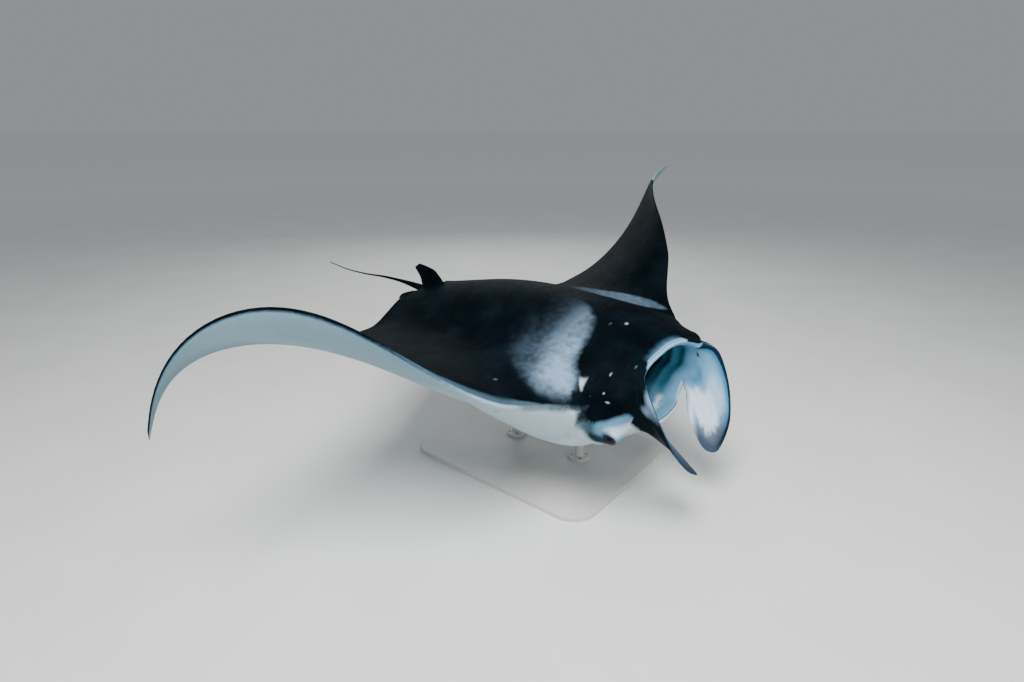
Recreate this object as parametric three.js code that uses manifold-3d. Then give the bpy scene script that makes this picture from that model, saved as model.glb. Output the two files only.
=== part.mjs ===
// A manta ray as a life-size museum model on a display stand. Millimetres, +Z up, heading +X.
// The animal is laid out flat and level first, in plan coordinates: s out along the span from the
// midline, x forward, z up. Each half is then bent along its span to the swimming pose, and the
// whole is tilted and set on its stand. The origin is the middle of the underside of the base.
import * as THREE from 'three';
import { mergeVertices } from 'three/addons/utils/BufferGeometryUtils.js';
import Module from 'manifold-3d';

const wasm = await Module();
wasm.setup();

// ---- Driving dimensions ----
const HALF_SPAN = 1600;        // midline to wing tip, measured along the wing
const SIDE = 360;              // half width of the trunk, where the wings begin
const NECK_X = 430;            // where the front edge of the wing leaves the side of the head
const EDGE = 1.3;              // half thickness of the rear edges of disc and fins
const GAP = 0.4;               // clearance between parts that meet
const NOSE_DOWN = 4.1;         // degrees
const BANK = 6.5;              // degrees, right wing low
const AXIS = { x: 43, y: -2, height: 580 };    // the body axis, seen from the middle of the base
const EYE = { x: 517, y: 333, z: -108, radius: 25 };
const BASE = { length: 940, width: 760, thickness: 20, corner: 110, bevel: 3 };
const ROD = { radius: 19, flange: 48, flangeHeight: 12, depth: 110, stations: [170, -190] };

// ---- Mesh density ----
const LIP_ROWS = 8;            // from the midline to the upper corner of the mouth
const FIN_ROWS = 6;            // from there round the root of a cephalic fin to its middle
const WING_ROWS = 15;
const CHORD_STEPS = 11;
const HEAD_STEPS = 5;
const RIB_STEPS = 4;
const MOUTH_STEPS = 3;

// ---- Curves ----
// A smooth curve through [x, y] knots; each inner slope is a weighted mean of its neighbours.
function through(...knots) {
  const last = knots.length - 1;
  const run = (i) => knots[i + 1][0] - knots[i][0];
  const rise = (i) => (knots[i + 1][1] - knots[i][1]) / run(i);
  const slope = knots.map((knot, i) => {
    if (i === 0) return rise(0);
    if (i === last) return rise(last - 1);
    return (rise(i - 1) * run(i) + rise(i) * run(i - 1)) / (run(i) + run(i - 1));
  });
  return (x) => {
    const at = Math.min(Math.max(x, knots[0][0]), knots[last][0]);
    let i = 0;
    while (i < last - 1 && at > knots[i + 1][0]) i += 1;
    const t = (at - knots[i][0]) / run(i);
    const bend = t * t * (3 - 2 * t);
    return knots[i][1] * (1 - bend) + knots[i + 1][1] * bend
      + run(i) * (slope[i] * t * (1 - t) ** 2 - slope[i + 1] * t * t * (1 - t));
  };
}
const mix = (a, b, t) => a + (b - a) * t;
const smooth = (a, b, x) => {
  const t = Math.min(Math.max((x - a) / (b - a), 0), 1);
  return t * t * (3 - 2 * t);
};
const radians = THREE.MathUtils.degToRad;
const steps = (count) => Array.from({ length: count + 1 }, (_, i) => i / count);
const point = (x, y, z) => new THREE.Vector3(x, y, z);
const between = (a, b, t) => a.clone().lerp(b, t);

// ---- The swimming pose ----
// rise: how steeply a wing climbs at each distance out; twist: how far its front edge is turned up;
// droop: how far the rear edge sinks beside the trunk.
const POSE = {
  left: {
    rise: through([0, 0], [300, 0], [550, 12.1], [900, 25.0], [1250, 39.9], [1600, 55.0]),
    twist: through([0, 0], [340, 0], [650, 25.8], [1100, 49.7], [1450, 62.5], [1600, 72.0]),
    droop: through([0, 0], [100, 16], [200, 44], [360, 48], [520, 32], [720, 0]),
  },
  right: {
    rise: through([0, 0], [300, 0], [550, 21.3], [900, 35.2], [1250, 38.3], [1600, 11.4]),
    twist: through([0, 0], [340, 0], [650, -1.3], [1100, 22.8], [1600, 101.9]),
    droop: () => 0,
  },
};
const SPINE_STEP = 10;
for (const pose of Object.values(POSE)) {
  pose.spine = [[0, 0]];
  for (let s = SPINE_STEP; s <= HALF_SPAN; s += SPINE_STEP) {
    const climb = radians(pose.rise(s - SPINE_STEP / 2));
    const [y, z] = pose.spine.at(-1);
    pose.spine.push([y + SPINE_STEP * Math.cos(climb), z + SPINE_STEP * Math.sin(climb)]);
  }
}
const spar = (s) => mix(-50, -250, s / HALF_SPAN);   // the line that a wing twists about

// A plan point moved to the swimming pose.
function bent(side, flat) {
  const pose = POSE[side];
  const climb = radians(pose.rise(flat.y));
  const turn = radians(pose.twist(flat.y));
  const i = Math.min(Math.floor(flat.y / SPINE_STEP), pose.spine.length - 2);
  const along = flat.y / SPINE_STEP - i;
  const ahead = flat.x - spar(flat.y);
  const sunk = flat.z - pose.droop(flat.y) * smooth(0, 600, -ahead);
  const up = ahead * Math.sin(turn) + sunk * Math.cos(turn);
  const y = mix(pose.spine[i][0], pose.spine[i + 1][0], along) - up * Math.sin(climb);
  const z = mix(pose.spine[i][1], pose.spine[i + 1][1], along) + up * Math.cos(climb);
  const x = spar(flat.y) + ahead * Math.cos(turn) - sunk * Math.sin(turn);
  return point(x, side === 'left' ? y : -y, z);
}

// ---- Solids from grids of points ----
// Each grid is a list of rows; a cell between two rows gives two triangles.
function solid(grids) {
  const corners = [];
  for (const { rows, flip } of grids) {
    for (let i = 0; i < rows.length - 1; i += 1) {
      for (let j = 0; j < rows[i].length - 1; j += 1) {
        const [a, b, c, d] = [rows[i][j], rows[i + 1][j], rows[i + 1][j + 1], rows[i][j + 1]];
        corners.push(...(flip ? [a, c, b, a, d, c] : [a, b, c, a, c, d]));
      }
    }
  }
  const loose = new THREE.BufferGeometry().setFromPoints(corners);
  return toManifold(loose);
}

function toManifold(geometry) {
  const bare = geometry.clone();
  bare.deleteAttribute('normal');
  bare.deleteAttribute('uv');
  const merged = mergeVertices(bare, 1e-3);
  const index = merged.index.array;
  const kept = [];
  for (let t = 0; t < index.length; t += 3) {
    const [a, b, c] = [index[t], index[t + 1], index[t + 2]];
    if (a !== b && b !== c && c !== a) kept.push(a, b, c);
  }
  return new wasm.Manifold(new wasm.Mesh({
    numProp: 3,
    vertProperties: new Float32Array(merged.attributes.position.array),
    triVerts: new Uint32Array(kept),
  }));
}

// A closed solid from rings of equal count, with a fan at each end.
function lofted(rings) {
  const middle = (ring) => ring.reduce((sum, p) => sum.add(p), point(0, 0, 0)).divideScalar(ring.length);
  const closed = rings.map((ring) => [...ring, ring[0]]);
  const cap = (ring) => ring.map(() => middle(ring.slice(1)));
  return solid([{ rows: [cap(closed[0]), ...closed, cap(closed.at(-1))], flip: false }]);
}

// The half thickness of a wing or fin section: round in front, thin behind, 1 at its thickest.
const section = (c) => 10 * (0.2969 * Math.sqrt(c) - 0.126 * c - 0.3516 * c ** 2 + 0.2843 * c ** 3
  - 0.1036 * c ** 4);

// ---- Disc: trunk and wings ----
const frontEdge = through([360, 430], [450, 332], [700, 249], [1000, 90], [1250, -121], [1450, -366],
  [1600, -578]);
const rearEdge = through([0, -800], [120, -800], [300, -733], [500, -605], [800, -458], [1100, -407],
  [1400, -488], [1600, -606]);
const wingTop = through([360, 75], [450, 54], [600, 40], [800, 30], [1200, 16], [1600, 4]);
const wingBottom = through([360, 228], [450, 134], [600, 50], [800, 28], [1200, 15], [1600, 4]);
const midTop = through([-800, 22], [-700, 52], [-600, 84], [-500, 114], [-350, 155], [-100, 195],
  [100, 205], [300, 190], [430, 160]);
const midBottom = through([-800, -16], [-700, -40], [-600, -74], [-350, -150], [-100, -215],
  [100, -246], [300, -252], [430, -236]);
const chord = steps(CHORD_STEPS).map((t) => 1 - Math.cos((Math.PI / 2) * t));   // 0 front, 1 rear

// Height over the plan at distance s out and chord fraction c, on the wing.
const wingHeight = (s, c, top) => (top ? 1 : -1)
  * ((top ? wingTop(s) : wingBottom(s)) * section(c) + EDGE * Math.sqrt(c));

// Rows of the trunk and head, as shares of the way from the midline, 0, to the side, 1.
const CORNER = { top: 0.72, bottom: 0.70 };   // where the corners of the mouth are
const headShares = [
  ...steps(LIP_ROWS).map((t) => CORNER.top * t),
  ...steps(FIN_ROWS).slice(1).map((t) => mix(CORNER.top, 1, t ** 1.25)),
];

// The trunk's cross-section is a dome that runs on into the wing with the same slope, and turns
// into the boxy oval of the head towards the neck. a is 0 at the midline and 1 at the side.
// The smaller the power, the squarer the corner.
function oval(a, power) {
  const turn = (a * Math.PI) / 2;
  return [Math.sin(turn), a < 1 ? Math.cos(turn) ** power : 0];
}
const SQUARENESS = { topNeck: 1.15, topRim: 0.4, bottomNeck: 0.38, bottomRim: 0.9 };
const squareness = (g, top) => (top ? mix(SQUARENESS.topNeck, SQUARENESS.topRim, g * g)
  : mix(SQUARENESS.bottomNeck, SQUARENESS.bottomRim, g ** 3));
function trunkPoint(a, c, top) {
  const middleX = mix(NECK_X, rearEdge(0), c);
  const middleZ = (top ? midTop : midBottom)(middleX);
  const sideZ = wingHeight(SIDE, c, top);
  const sideSlope = (wingHeight(SIDE + 40, c, top) - sideZ) / 40;
  const dome = middleZ * (1 + 2 * a) * (1 - a) ** 2 + sideZ * a * a * (3 - 2 * a)
    - sideSlope * SIDE * a * a * (1 - a);
  const [outward, upward] = oval(a, squareness(0, top));
  const headShape = smooth(NECK_X - (top ? 300 : 700), NECK_X, middleX);
  const s = SIDE * mix(a, outward, headShape);
  const z = mix(dome, mix(sideZ, middleZ, upward), headShape);
  return point(mix(NECK_X, rearEdge(s), c), s, z);
}

// ---- Head ----
const HEAD = {
  halfWidth: through([0, 360], [0.4, 358], [0.7, 343], [0.87, 312], [1, 266]),
  sideHeight: through([0, 0], [0.5, -28], [1, -40]),
  top: through([0, 160], [0.5, 142], [1, 118]),
  bottom: through([0, -236], [0.5, -220], [1, -196]),
  topFront: through([0, 522], [0.5, 532], [0.72, 556], [1, 556]),
  bottomFront: through([0, 560], [0.25, 552], [0.45, 530], [0.72, 526], [1, 556]),
};
// g runs from the neck, 0, to the rim of the mouth, 1.
function headPoint(a, g, top) {
  const [outward, upward] = oval(a, squareness(g, top));
  const side = HEAD.sideHeight(g);
  const crown = (top ? HEAD.top : HEAD.bottom)(g);
  const front = (top ? HEAD.topFront : HEAD.bottomFront)(a);
  return point(mix(NECK_X, front, g), HEAD.halfWidth(g) * outward, mix(side, crown, upward));
}

// ---- Mouth ----
const LIP = 30;                // thickness of the lips and of the roots of the cephalic fins
const THROAT = { x: 150, halfWidth: 120, z: -50 };
// d runs from the rim, 0, to the throat, 1, where roof and floor meet.
function mouthPoint(a, d, top) {
  const [outward, upward] = oval(a, squareness(1, top));
  const rim = headPoint(a, 1, top);
  const halfWidth = mix(HEAD.halfWidth(1) - LIP, THROAT.halfWidth, d);
  const crown = mix(top ? HEAD.top(1) - LIP : HEAD.bottom(1) + LIP, THROAT.z, d ** 1.5);
  const side = mix(HEAD.sideHeight(1), THROAT.z, d);
  return point(mix(rim.x, THROAT.x, d), halfWidth * outward, mix(side, crown, upward));
}

// ---- Cephalic fins ----
// The free edge of the left one, from the upper corner of the mouth over the tip, 0.5, to the lower.
const finEdge = {
  x: through([0, 577], [0.1, 626], [0.2, 678], [0.3, 720], [0.4, 753], [0.5, 754], [0.6, 716],
    [0.75, 640], [0.9, 584], [1, 546]),
  y: through([0, 228], [0.1, 272], [0.2, 275], [0.3, 256], [0.4, 206], [0.5, 108], [0.6, 74],
    [0.75, 93], [0.9, 150], [1, 222]),
  z: through([0, 86], [0.1, 42], [0.2, -47], [0.3, -138], [0.4, -229], [0.5, -309], [0.6, -314],
    [0.75, -240], [0.9, -166], [1, -112]),
};
const FIN_BULGE = point(0.05, 0.06, 0.03);   // how far a rib bows out, for each unit of its length
const RIM = 14;                              // how far the rounded lips stand forward of the rim

function edgePoint(a, top) {
  const corner = top ? CORNER.top : CORNER.bottom;
  const along = Math.max(a - corner, 0) / (1 - corner) / 2;
  const t = top ? along : 1 - along;
  const fin = point(finEdge.x(t), finEdge.y(t), finEdge.z(t));
  const lip = between(headPoint(a, 1, top), mouthPoint(a, 0, top), 0.5).add(point(RIM, 0, 0));
  return between(lip, fin, smooth(corner - 0.12, corner + 0.08, a));
}
// The middle surface of the lips and fins: w runs from the root, 0, to the free edge, 1.
function ribPoint(a, w, top) {
  const root = between(headPoint(a, 1, top), mouthPoint(a, 0, top), 0.5);
  const edge = edgePoint(a, top);
  const reach = root.distanceTo(edge);
  const bow = between(root, edge, 0.5).addScaledVector(FIN_BULGE, Math.max(reach - RIM, 0));
  return between(between(root, bow, w), between(bow, edge, w), w);
}
// Outer or inner face of the lips and fins. v runs round the mouth: 0 at the middle of the upper lip,
// 1 at the side, 2 at the middle of the lower lip.
const ribAt = (v, w) => (v <= 1 ? ribPoint(v, w, true) : ribPoint(2 - v, w, false));
function facePoint(a, w, top, outer) {
  const root = headPoint(a, 1, top).sub(mouthPoint(a, 0, top));
  const reach = ribPoint(a, 0, top).distanceTo(edgePoint(a, top));
  const blade = smooth(2 * RIM, 10 * RIM, reach);
  const v = top ? a : 2 - a;
  const nearby = 0.02;
  const across = ribAt(Math.min(v + nearby, 2), w).sub(ribAt(Math.max(v - nearby, 0), w));
  const along = ribAt(v, Math.min(w + nearby, 1)).sub(ribAt(v, Math.max(w - nearby, 0)));
  const normal = along.cross(across).normalize();
  const thin = mix(1, 0.45, blade * smooth(0, 0.4, w));
  const halfThickness = mix(EDGE, root.length() / 2, Math.sqrt(Math.max(1 - w * w, 0)) * thin);
  const direction = root.normalize().lerp(normal, smooth(0, 0.5, w)).normalize();
  return ribPoint(a, w, top).addScaledVector(direction, outer ? halfThickness : -halfThickness);
}

// ---- One closed skin over trunk, wings, head and cephalic fins ----
function headRow(a, top) {
  const row = [
    ...chord.toReversed().map((c) => trunkPoint(a, c, top)),
    ...steps(HEAD_STEPS).slice(1).map((g) => headPoint(a, g, top)),
    ...steps(RIB_STEPS).slice(1).map((w) => facePoint(a, w, top, true)),
    ...steps(RIB_STEPS).slice(1).toReversed().map((w) => facePoint(a, w, top, false)),
    ...steps(MOUTH_STEPS).map((d) => mouthPoint(a, d, top)),
  ];
  if (a === 0) row.forEach((flat) => flat.setY(0));
  return row;
}
function wingRow(s, top) {
  return chord.toReversed().map((c) => point(mix(frontEdge(s), rearEdge(s), c), s,
    c === 0 ? 0 : wingHeight(s, c, top)));
}
function disc() {
  const grids = [];
  for (const side of ['left', 'right']) {
    const place = (row) => row.map((flat) => bent(side, flat));
    const mirrored = side === 'right';
    const wingStations = steps(WING_ROWS).map((t) => mix(SIDE, HALF_SPAN, 1 - (1 - t) ** 1.15));
    const head = [true, false].map((top) => headShares.map((a) => place(headRow(a, top))));
    const wing = [true, false].map((top) => wingStations.map((s) => place(wingRow(s, top))));
    grids.push({ rows: head[0], flip: !mirrored }, { rows: head[1], flip: mirrored });
    grids.push({ rows: wing[0], flip: !mirrored }, { rows: wing[1], flip: mirrored });
    for (const part of [head, wing]) {
      const rear = part[0].map((row, i) => [row[0], part[1][i][0]]);
      grids.push({ rows: rear, flip: mirrored });
    }
    grids.push({ rows: [wing[0].at(-1), wing[1].at(-1)], flip: !mirrored });
  }
  return solid(grids);
}

// ---- Dorsal fin, pelvic fins and tail ----
// A fin as a stack of sections: front and rear ends and half thickness for each level.
function finSolid(levels, across) {
  const outline = steps(8).map((t) => 1 - Math.cos((Math.PI / 2) * t));
  return lofted(levels.map(({ front, rear, half }) => {
    const face = (sign) => outline.map((c) => between(front, rear, c)
      .addScaledVector(across, sign * (half * section(c) + EDGE * Math.sqrt(c))));
    return [...face(1), ...face(-1).slice(1).toReversed()];
  }));
}
function dorsalFin() {
  const front = through([0, -610], [0.35, -640], [0.7, -680], [0.9, -722], [1, -790]);
  const rear = through([0, -812], [0.35, -808], [0.7, -832], [0.9, -846], [1, -832]);
  const height = through([0, 0], [1, 107]);
  const levels = steps(5).map((t) => {
    const floor = mix(20, 40, t);
    return { front: point(front(t), 0, floor + height(t)), rear: point(rear(t), 0, height(t) + 20),
      half: mix(13, 2, t) };
  });
  return finSolid(levels, point(0, -1, 0));
}
function pelvicFin(sign) {
  const front = through([0, -700], [0.5, -728], [0.85, -778], [1, -818]);
  const rear = through([0, -825], [0.3, -850], [0.7, -862], [1, -848]);
  const levels = steps(6).map((t) => ({
    front: point(front(t), sign * mix(30, 128, t), mix(2, -12, t)),
    rear: point(rear(t), sign * mix(30, 122, t), mix(0, -16, t)),
    half: mix(15, 3, t),
  }));
  return finSolid(levels, point(0, 0, sign));
}
function tail() {
  const radius = through([-1600, 2.5], [-1350, 4], [-1100, 7], [-950, 11], [-840, 19], [-760, 25]);
  const height = through([-1600, -30], [-1450, -36], [-1270, -24], [-1100, -2], [-950, 8], [-760, 6]);
  const rings = steps(18).map((t) => {
    const x = mix(-740, -1600, t ** 0.85);
    return steps(8).slice(1).map((turn) => point(x, radius(x) * Math.cos(turn * 2 * Math.PI),
      height(x) + 0.85 * radius(x) * Math.sin(turn * 2 * Math.PI)));
  });
  return lofted(rings);
}

// ---- Eyes ----
function eyeball(side, radius) {
  const ball = new THREE.SphereGeometry(radius, 12, 8);
  return ball.translate(...bent(side, point(EYE.x, EYE.y, EYE.z)));
}

// ---- The place of the animal over its stand ----
const animal = new THREE.Group();
animal.position.set(AXIS.x, AXIS.y, AXIS.height);
animal.rotation.set(radians(BANK), radians(NOSE_DOWN), 0, 'YXZ');
animal.updateMatrixWorld();

// ---- Stand: a flat base and two rods, each with a foot flange, let into the belly ----
function standBase() {
  const { length, width, thickness, corner, bevel } = BASE;
  const x = length / 2 - corner;
  const y = width / 2 - corner;
  const outline = new THREE.Shape();
  [[x, y], [-x, y], [-x, -y], [x, -y]].forEach(([cx, cy], quarter) => {
    const start = (quarter * Math.PI) / 2;
    outline.absarc(cx, cy, corner - bevel, start, start + Math.PI / 2);
  });
  const plate = new THREE.ExtrudeGeometry(outline, { depth: thickness - 2 * bevel, curveSegments: 5,
    bevelSize: bevel, bevelThickness: bevel, bevelSegments: 1 });
  return plate.translate(0, 0, bevel);
}
// Where a rod meets the belly, over the floor.
const belly = (station) => animal.localToWorld(point(station, 0, midBottom(station)));
const SIDES = 16;
function standRod(station) {
  const { x, y, z } = belly(station);
  const foot = BASE.thickness + GAP;
  const profile = [[0, foot], [ROD.flange, foot], [ROD.flange, foot + ROD.flangeHeight],
    [ROD.radius, foot + ROD.flangeHeight], [ROD.radius, z + ROD.depth], [0, z + ROD.depth]];
  const rod = new THREE.LatheGeometry(profile.map(([r, h]) => new THREE.Vector2(r, h)), SIDES);
  return rod.rotateX(Math.PI / 2).translate(x, y, 0);
}
// The hole for a rod, in the animal's own frame.
function rodHole(station) {
  const { x, y, z } = belly(station);
  const depth = ROD.depth + GAP;
  const clear = 200;
  const hole = new THREE.CylinderGeometry(ROD.radius + GAP, ROD.radius + GAP, depth + clear, SIDES);
  hole.rotateX(Math.PI / 2).translate(x, y, z + (depth - clear) / 2);
  return hole.applyMatrix4(animal.matrixWorld.clone().invert());
}

// ---- The animal in its parts, parted by thin flat cuts ----
const FAR = 4000;
// A block between two corners; a corner left out reaches past the animal.
function block({ x = [-FAR, FAR], y = [-FAR, FAR], z = [-FAR, FAR] }) {
  const box = new THREE.BoxGeometry(x[1] - x[0], y[1] - y[0], z[1] - z[0]);
  return box.translate((x[0] + x[1]) / 2, (y[0] + y[1]) / 2, (z[0] + z[1]) / 2);
}
// The space over a sloping cut along the back, under the dorsal fin.
function crest(lift) {
  const space = block({ x: [-CREST.length / 2, CREST.length / 2], y: [-100, 100], z: [lift, 300] });
  return toManifold(space.rotateY(-radians(CREST.slope)).translate(CREST.x, 0, CREST.z));
}
const CUT = { wing: 400, fins: 600, head: 360, tail: -790, tailSide: 40 };
const CREST = { x: -722, z: 61, length: 256, slope: 16.7 };

function animalParts() {
  const fins = dorsalFin().add(pelvicFin(1)).add(pelvicFin(-1));
  const whole = disc().add(fins).add(tail());
  const body = whole.subtract(crest(-GAP / 2));
  const within = (limits) => body.intersect(toManifold(block(limits)));
  const half = GAP / 2;
  const middle = [-CUT.wing + half, CUT.wing - half];
  const rear = [-FAR, CUT.tail - half];
  const holed = (flesh, tools) => tools.reduce((rest, tool) => rest.subtract(toManifold(tool)), flesh);
  return {
    wing_left: within({ y: [CUT.wing + half, FAR] }),
    wing_right: within({ y: [-FAR, -CUT.wing - half] }),
    cephalic_fin_left: within({ x: [CUT.fins + half, FAR], y: [0, FAR] }),
    cephalic_fin_right: within({ x: [CUT.fins + half, FAR], y: [-FAR, 0] }),
    head: holed(within({ x: [CUT.head + half, CUT.fins - half], y: middle }),
      ['left', 'right'].map((side) => eyeball(side, EYE.radius + GAP))),
    trunk: holed(within({ x: [CUT.tail + half, CUT.head - half], y: middle }),
      ROD.stations.map(rodHole)),
    dorsal_fin: whole.intersect(crest(GAP / 2)),
    tail: within({ x: rear, y: [-CUT.tailSide + half, CUT.tailSide - half] }),
    pelvic_fin_left: within({ x: rear, y: [CUT.tailSide + half, FAR] }),
    pelvic_fin_right: within({ x: rear, y: [-FAR, -CUT.tailSide - half] }),
  };
}

// ---- Finishes and nodes ----
const finish = (color, roughness, metalness) => new THREE.MeshStandardMaterial({ color, roughness,
  metalness });
const finishes = {
  back: () => finish(0x23282f, 0.6, 0),
  headSkin: () => finish(0x1b1f26, 0.6, 0),
  finSkin: () => finish(0xc4ccd6, 0.6, 0),
  eye: () => finish(0x06080b, 0.12, 0),
  paintedSteel: () => finish(0xcbc9c4, 0.45, 0),
};
const FLESH = {
  wing_left: 'back', wing_right: 'back', cephalic_fin_left: 'finSkin', cephalic_fin_right: 'finSkin',
  head: 'headSkin', trunk: 'back', dorsal_fin: 'back', tail: 'back', pelvic_fin_left: 'back',
  pelvic_fin_right: 'back',
};
function node(name, geometry, material) {
  const mesh = new THREE.Mesh(geometry, material);
  mesh.name = name;
  return mesh;
}
for (const [name, flesh] of Object.entries(animalParts())) {
  const { vertProperties, triVerts } = flesh.getMesh();
  const geometry = new THREE.BufferGeometry();
  geometry.setAttribute('position', new THREE.BufferAttribute(vertProperties, 3));
  geometry.setIndex(new THREE.BufferAttribute(triVerts, 1));
  animal.add(node(name, geometry, finishes[FLESH[name]]()));
}
animal.add(node('eye_left', eyeball('left', EYE.radius), finishes.eye()));
animal.add(node('eye_right', eyeball('right', EYE.radius), finishes.eye()));

const model = new THREE.Group();
model.add(animal);
model.add(node('stand_base', standBase(), finishes.paintedSteel()));
model.add(node('stand_rod_front', standRod(ROD.stations[0]), finishes.paintedSteel()));
model.add(node('stand_rod_rear', standRod(ROD.stations[1]), finishes.paintedSteel()));
export default model;
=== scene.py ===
import math

import bmesh
import bpy
from mathutils import Euler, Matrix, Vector
from mathutils.kdtree import KDTree


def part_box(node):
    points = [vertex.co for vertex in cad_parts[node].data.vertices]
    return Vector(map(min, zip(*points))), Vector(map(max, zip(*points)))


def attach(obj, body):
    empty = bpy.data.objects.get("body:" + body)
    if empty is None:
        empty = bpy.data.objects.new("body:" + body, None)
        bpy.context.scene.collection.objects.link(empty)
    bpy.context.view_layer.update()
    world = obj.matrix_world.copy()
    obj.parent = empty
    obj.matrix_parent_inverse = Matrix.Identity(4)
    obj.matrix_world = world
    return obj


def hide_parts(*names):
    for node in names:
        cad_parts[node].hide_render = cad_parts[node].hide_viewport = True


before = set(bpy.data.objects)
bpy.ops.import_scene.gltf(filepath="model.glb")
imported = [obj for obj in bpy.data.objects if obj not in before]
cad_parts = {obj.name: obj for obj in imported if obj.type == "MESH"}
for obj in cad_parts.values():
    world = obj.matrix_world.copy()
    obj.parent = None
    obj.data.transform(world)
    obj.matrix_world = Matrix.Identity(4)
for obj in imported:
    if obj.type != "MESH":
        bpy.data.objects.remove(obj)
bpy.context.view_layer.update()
bpy.ops.object.select_all(action="DESELECT")

# ---- The skin's form ----
# The ray's whole skin in one piece: thick, slack hide over a flat gristle skeleton. It is laid out
# flat and level first, s out from the midline, x forward, z up; then each half is bent along its
# span to the stroke of the wings, and the whole is tilted.
HALF_SPAN = 1.6         # midline to wing tip, along the wing
SIDE = 0.36             # half width of the trunk, where the wings begin
NECK = 0.43             # where the front edge of the wing leaves the side of the head
EDGE = 0.0013           # half thickness of the rear edges of disc and fins
EYE = Vector((0.517, 0.333, -0.108))
EYE_RADIUS = 0.025


def through(*knots):
    """A smooth curve through (x, y) knots; each inner slope is a weighted mean of its neighbours."""
    last = len(knots) - 1
    run = [b[0] - a[0] for a, b in zip(knots, knots[1:])]
    rise = [(b[1] - a[1]) / r for a, b, r in zip(knots, knots[1:], run)]
    inner = [(rise[i - 1] * run[i] + rise[i] * run[i - 1]) / (run[i] + run[i - 1]) for i in range(1, last)]
    slope = [rise[0], *inner, rise[-1]]

    def curve(x):
        x = min(max(x, knots[0][0]), knots[last][0])
        i = 0
        while i < last - 1 and x > knots[i + 1][0]:
            i += 1
        t = (x - knots[i][0]) / run[i]
        bend = t * t * (3 - 2 * t)
        return (knots[i][1] * (1 - bend) + knots[i + 1][1] * bend
                + run[i] * (slope[i] * t * (1 - t) ** 2 - slope[i + 1] * t * t * (1 - t)))
    return curve


def mix(a, b, t):
    return a + (b - a) * t


def smooth(a, b, x):
    """0 at a to 1 at b, easing in and out; a may be the greater."""
    t = min(max((x - a) / (b - a), 0), 1)
    return t * t * (3 - 2 * t)


def steps(count):
    return [i / count for i in range(count + 1)]


# The stroke, by distance out: how steeply a wing climbs, how far its front edge is turned up, and how
# far its rear edge sinks beside the trunk. Positive y is the ray's left.
STROKE = {
    1: dict(rise=through((0, 0), (0.3, 0), (0.55, 12.1), (0.9, 25.0), (1.25, 39.9), (1.6, 55.0)),
            twist=through((0, 0), (0.34, 0), (0.65, 25.8), (1.1, 49.7), (1.45, 62.5), (1.6, 72.0)),
            droop=through((0, 0), (0.1, 0.016), (0.2, 0.044), (0.36, 0.048), (0.52, 0.032), (0.72, 0))),
    -1: dict(rise=through((0, 0), (0.3, 0), (0.55, 21.3), (0.9, 35.2), (1.25, 38.3), (1.6, 11.4)),
             twist=through((0, 0), (0.34, 0), (0.65, -1.3), (1.1, 22.8), (1.6, 101.9)),
             droop=through((0, 0), (1.6, 0))),
}
SPINE_STEP = 0.01
for stroke in STROKE.values():
    stroke["spine"] = [(0.0, 0.0)]
    for i in range(round(HALF_SPAN / SPINE_STEP)):
        climb = math.radians(stroke["rise"]((i + 0.5) * SPINE_STEP))
        y, z = stroke["spine"][-1]
        stroke["spine"].append((y + SPINE_STEP * math.cos(climb), z + SPINE_STEP * math.sin(climb)))

SPAR = (-0.05, -0.25)                   # where the line that a wing twists about lies, root and tip
TILT = Euler((math.radians(6.5), math.radians(4.1), 0)).to_matrix()   # right wing low, nose down
AXIS = Vector((0.043, -0.002, 0.580))                                 # the body axis over the base


def placed(body):
    """A point in the level body's frame, tilted and set over the base."""
    return TILT @ body + AXIS


def bent(hand, flat):
    """A flat point moved to the stroke, on the left, 1, or the right, -1."""
    stroke = STROKE[hand]
    climb = math.radians(stroke["rise"](flat.y))
    turn = math.radians(stroke["twist"](flat.y))
    i = min(int(flat.y / SPINE_STEP + 1e-9), len(stroke["spine"]) - 2)
    along = flat.y / SPINE_STEP - i
    spar = mix(*SPAR, flat.y / HALF_SPAN)
    ahead = flat.x - spar
    sunk = flat.z - stroke["droop"](flat.y) * smooth(0, 0.6, -ahead)
    up = ahead * math.sin(turn) + sunk * math.cos(turn)
    (y0, z0), (y1, z1) = stroke["spine"][i:i + 2]
    y = mix(y0, y1, along) - up * math.sin(climb)
    z = mix(z0, z1, along) + up * math.cos(climb)
    x = spar + ahead * math.cos(turn) - sunk * math.sin(turn)
    return placed(Vector((x, hand * y, z)))


def section(c):
    """Half thickness of a wing or fin: round in front, thin behind, 1 at its thickest."""
    return 10 * (0.2969 * math.sqrt(c) - 0.126 * c - 0.3516 * c ** 2 + 0.2843 * c ** 3 - 0.1036 * c ** 4)


# Disc
front_edge = through((0.36, 0.430), (0.45, 0.332), (0.7, 0.249), (1.0, 0.090), (1.25, -0.121),
                     (1.45, -0.366), (1.6, -0.578))
rear_edge = through((0, -0.8), (0.12, -0.8), (0.3, -0.733), (0.5, -0.605), (0.8, -0.458),
                    (1.1, -0.407), (1.4, -0.488), (1.6, -0.606))
wing_top = through((0.36, 0.075), (0.45, 0.054), (0.6, 0.040), (0.8, 0.030), (1.2, 0.016), (1.6, 0.004))
wing_bottom = through((0.36, 0.228), (0.45, 0.134), (0.6, 0.050), (0.8, 0.028), (1.2, 0.015), (1.6, 0.004))
mid_top = through((-0.8, 0.022), (-0.7, 0.052), (-0.6, 0.084), (-0.5, 0.114), (-0.35, 0.155),
                  (-0.1, 0.195), (0.1, 0.205), (0.3, 0.190), (0.43, 0.160))
mid_bottom = through((-0.8, -0.016), (-0.7, -0.040), (-0.6, -0.074), (-0.35, -0.150), (-0.1, -0.215),
                     (0.1, -0.246), (0.3, -0.252), (0.43, -0.236))


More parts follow.
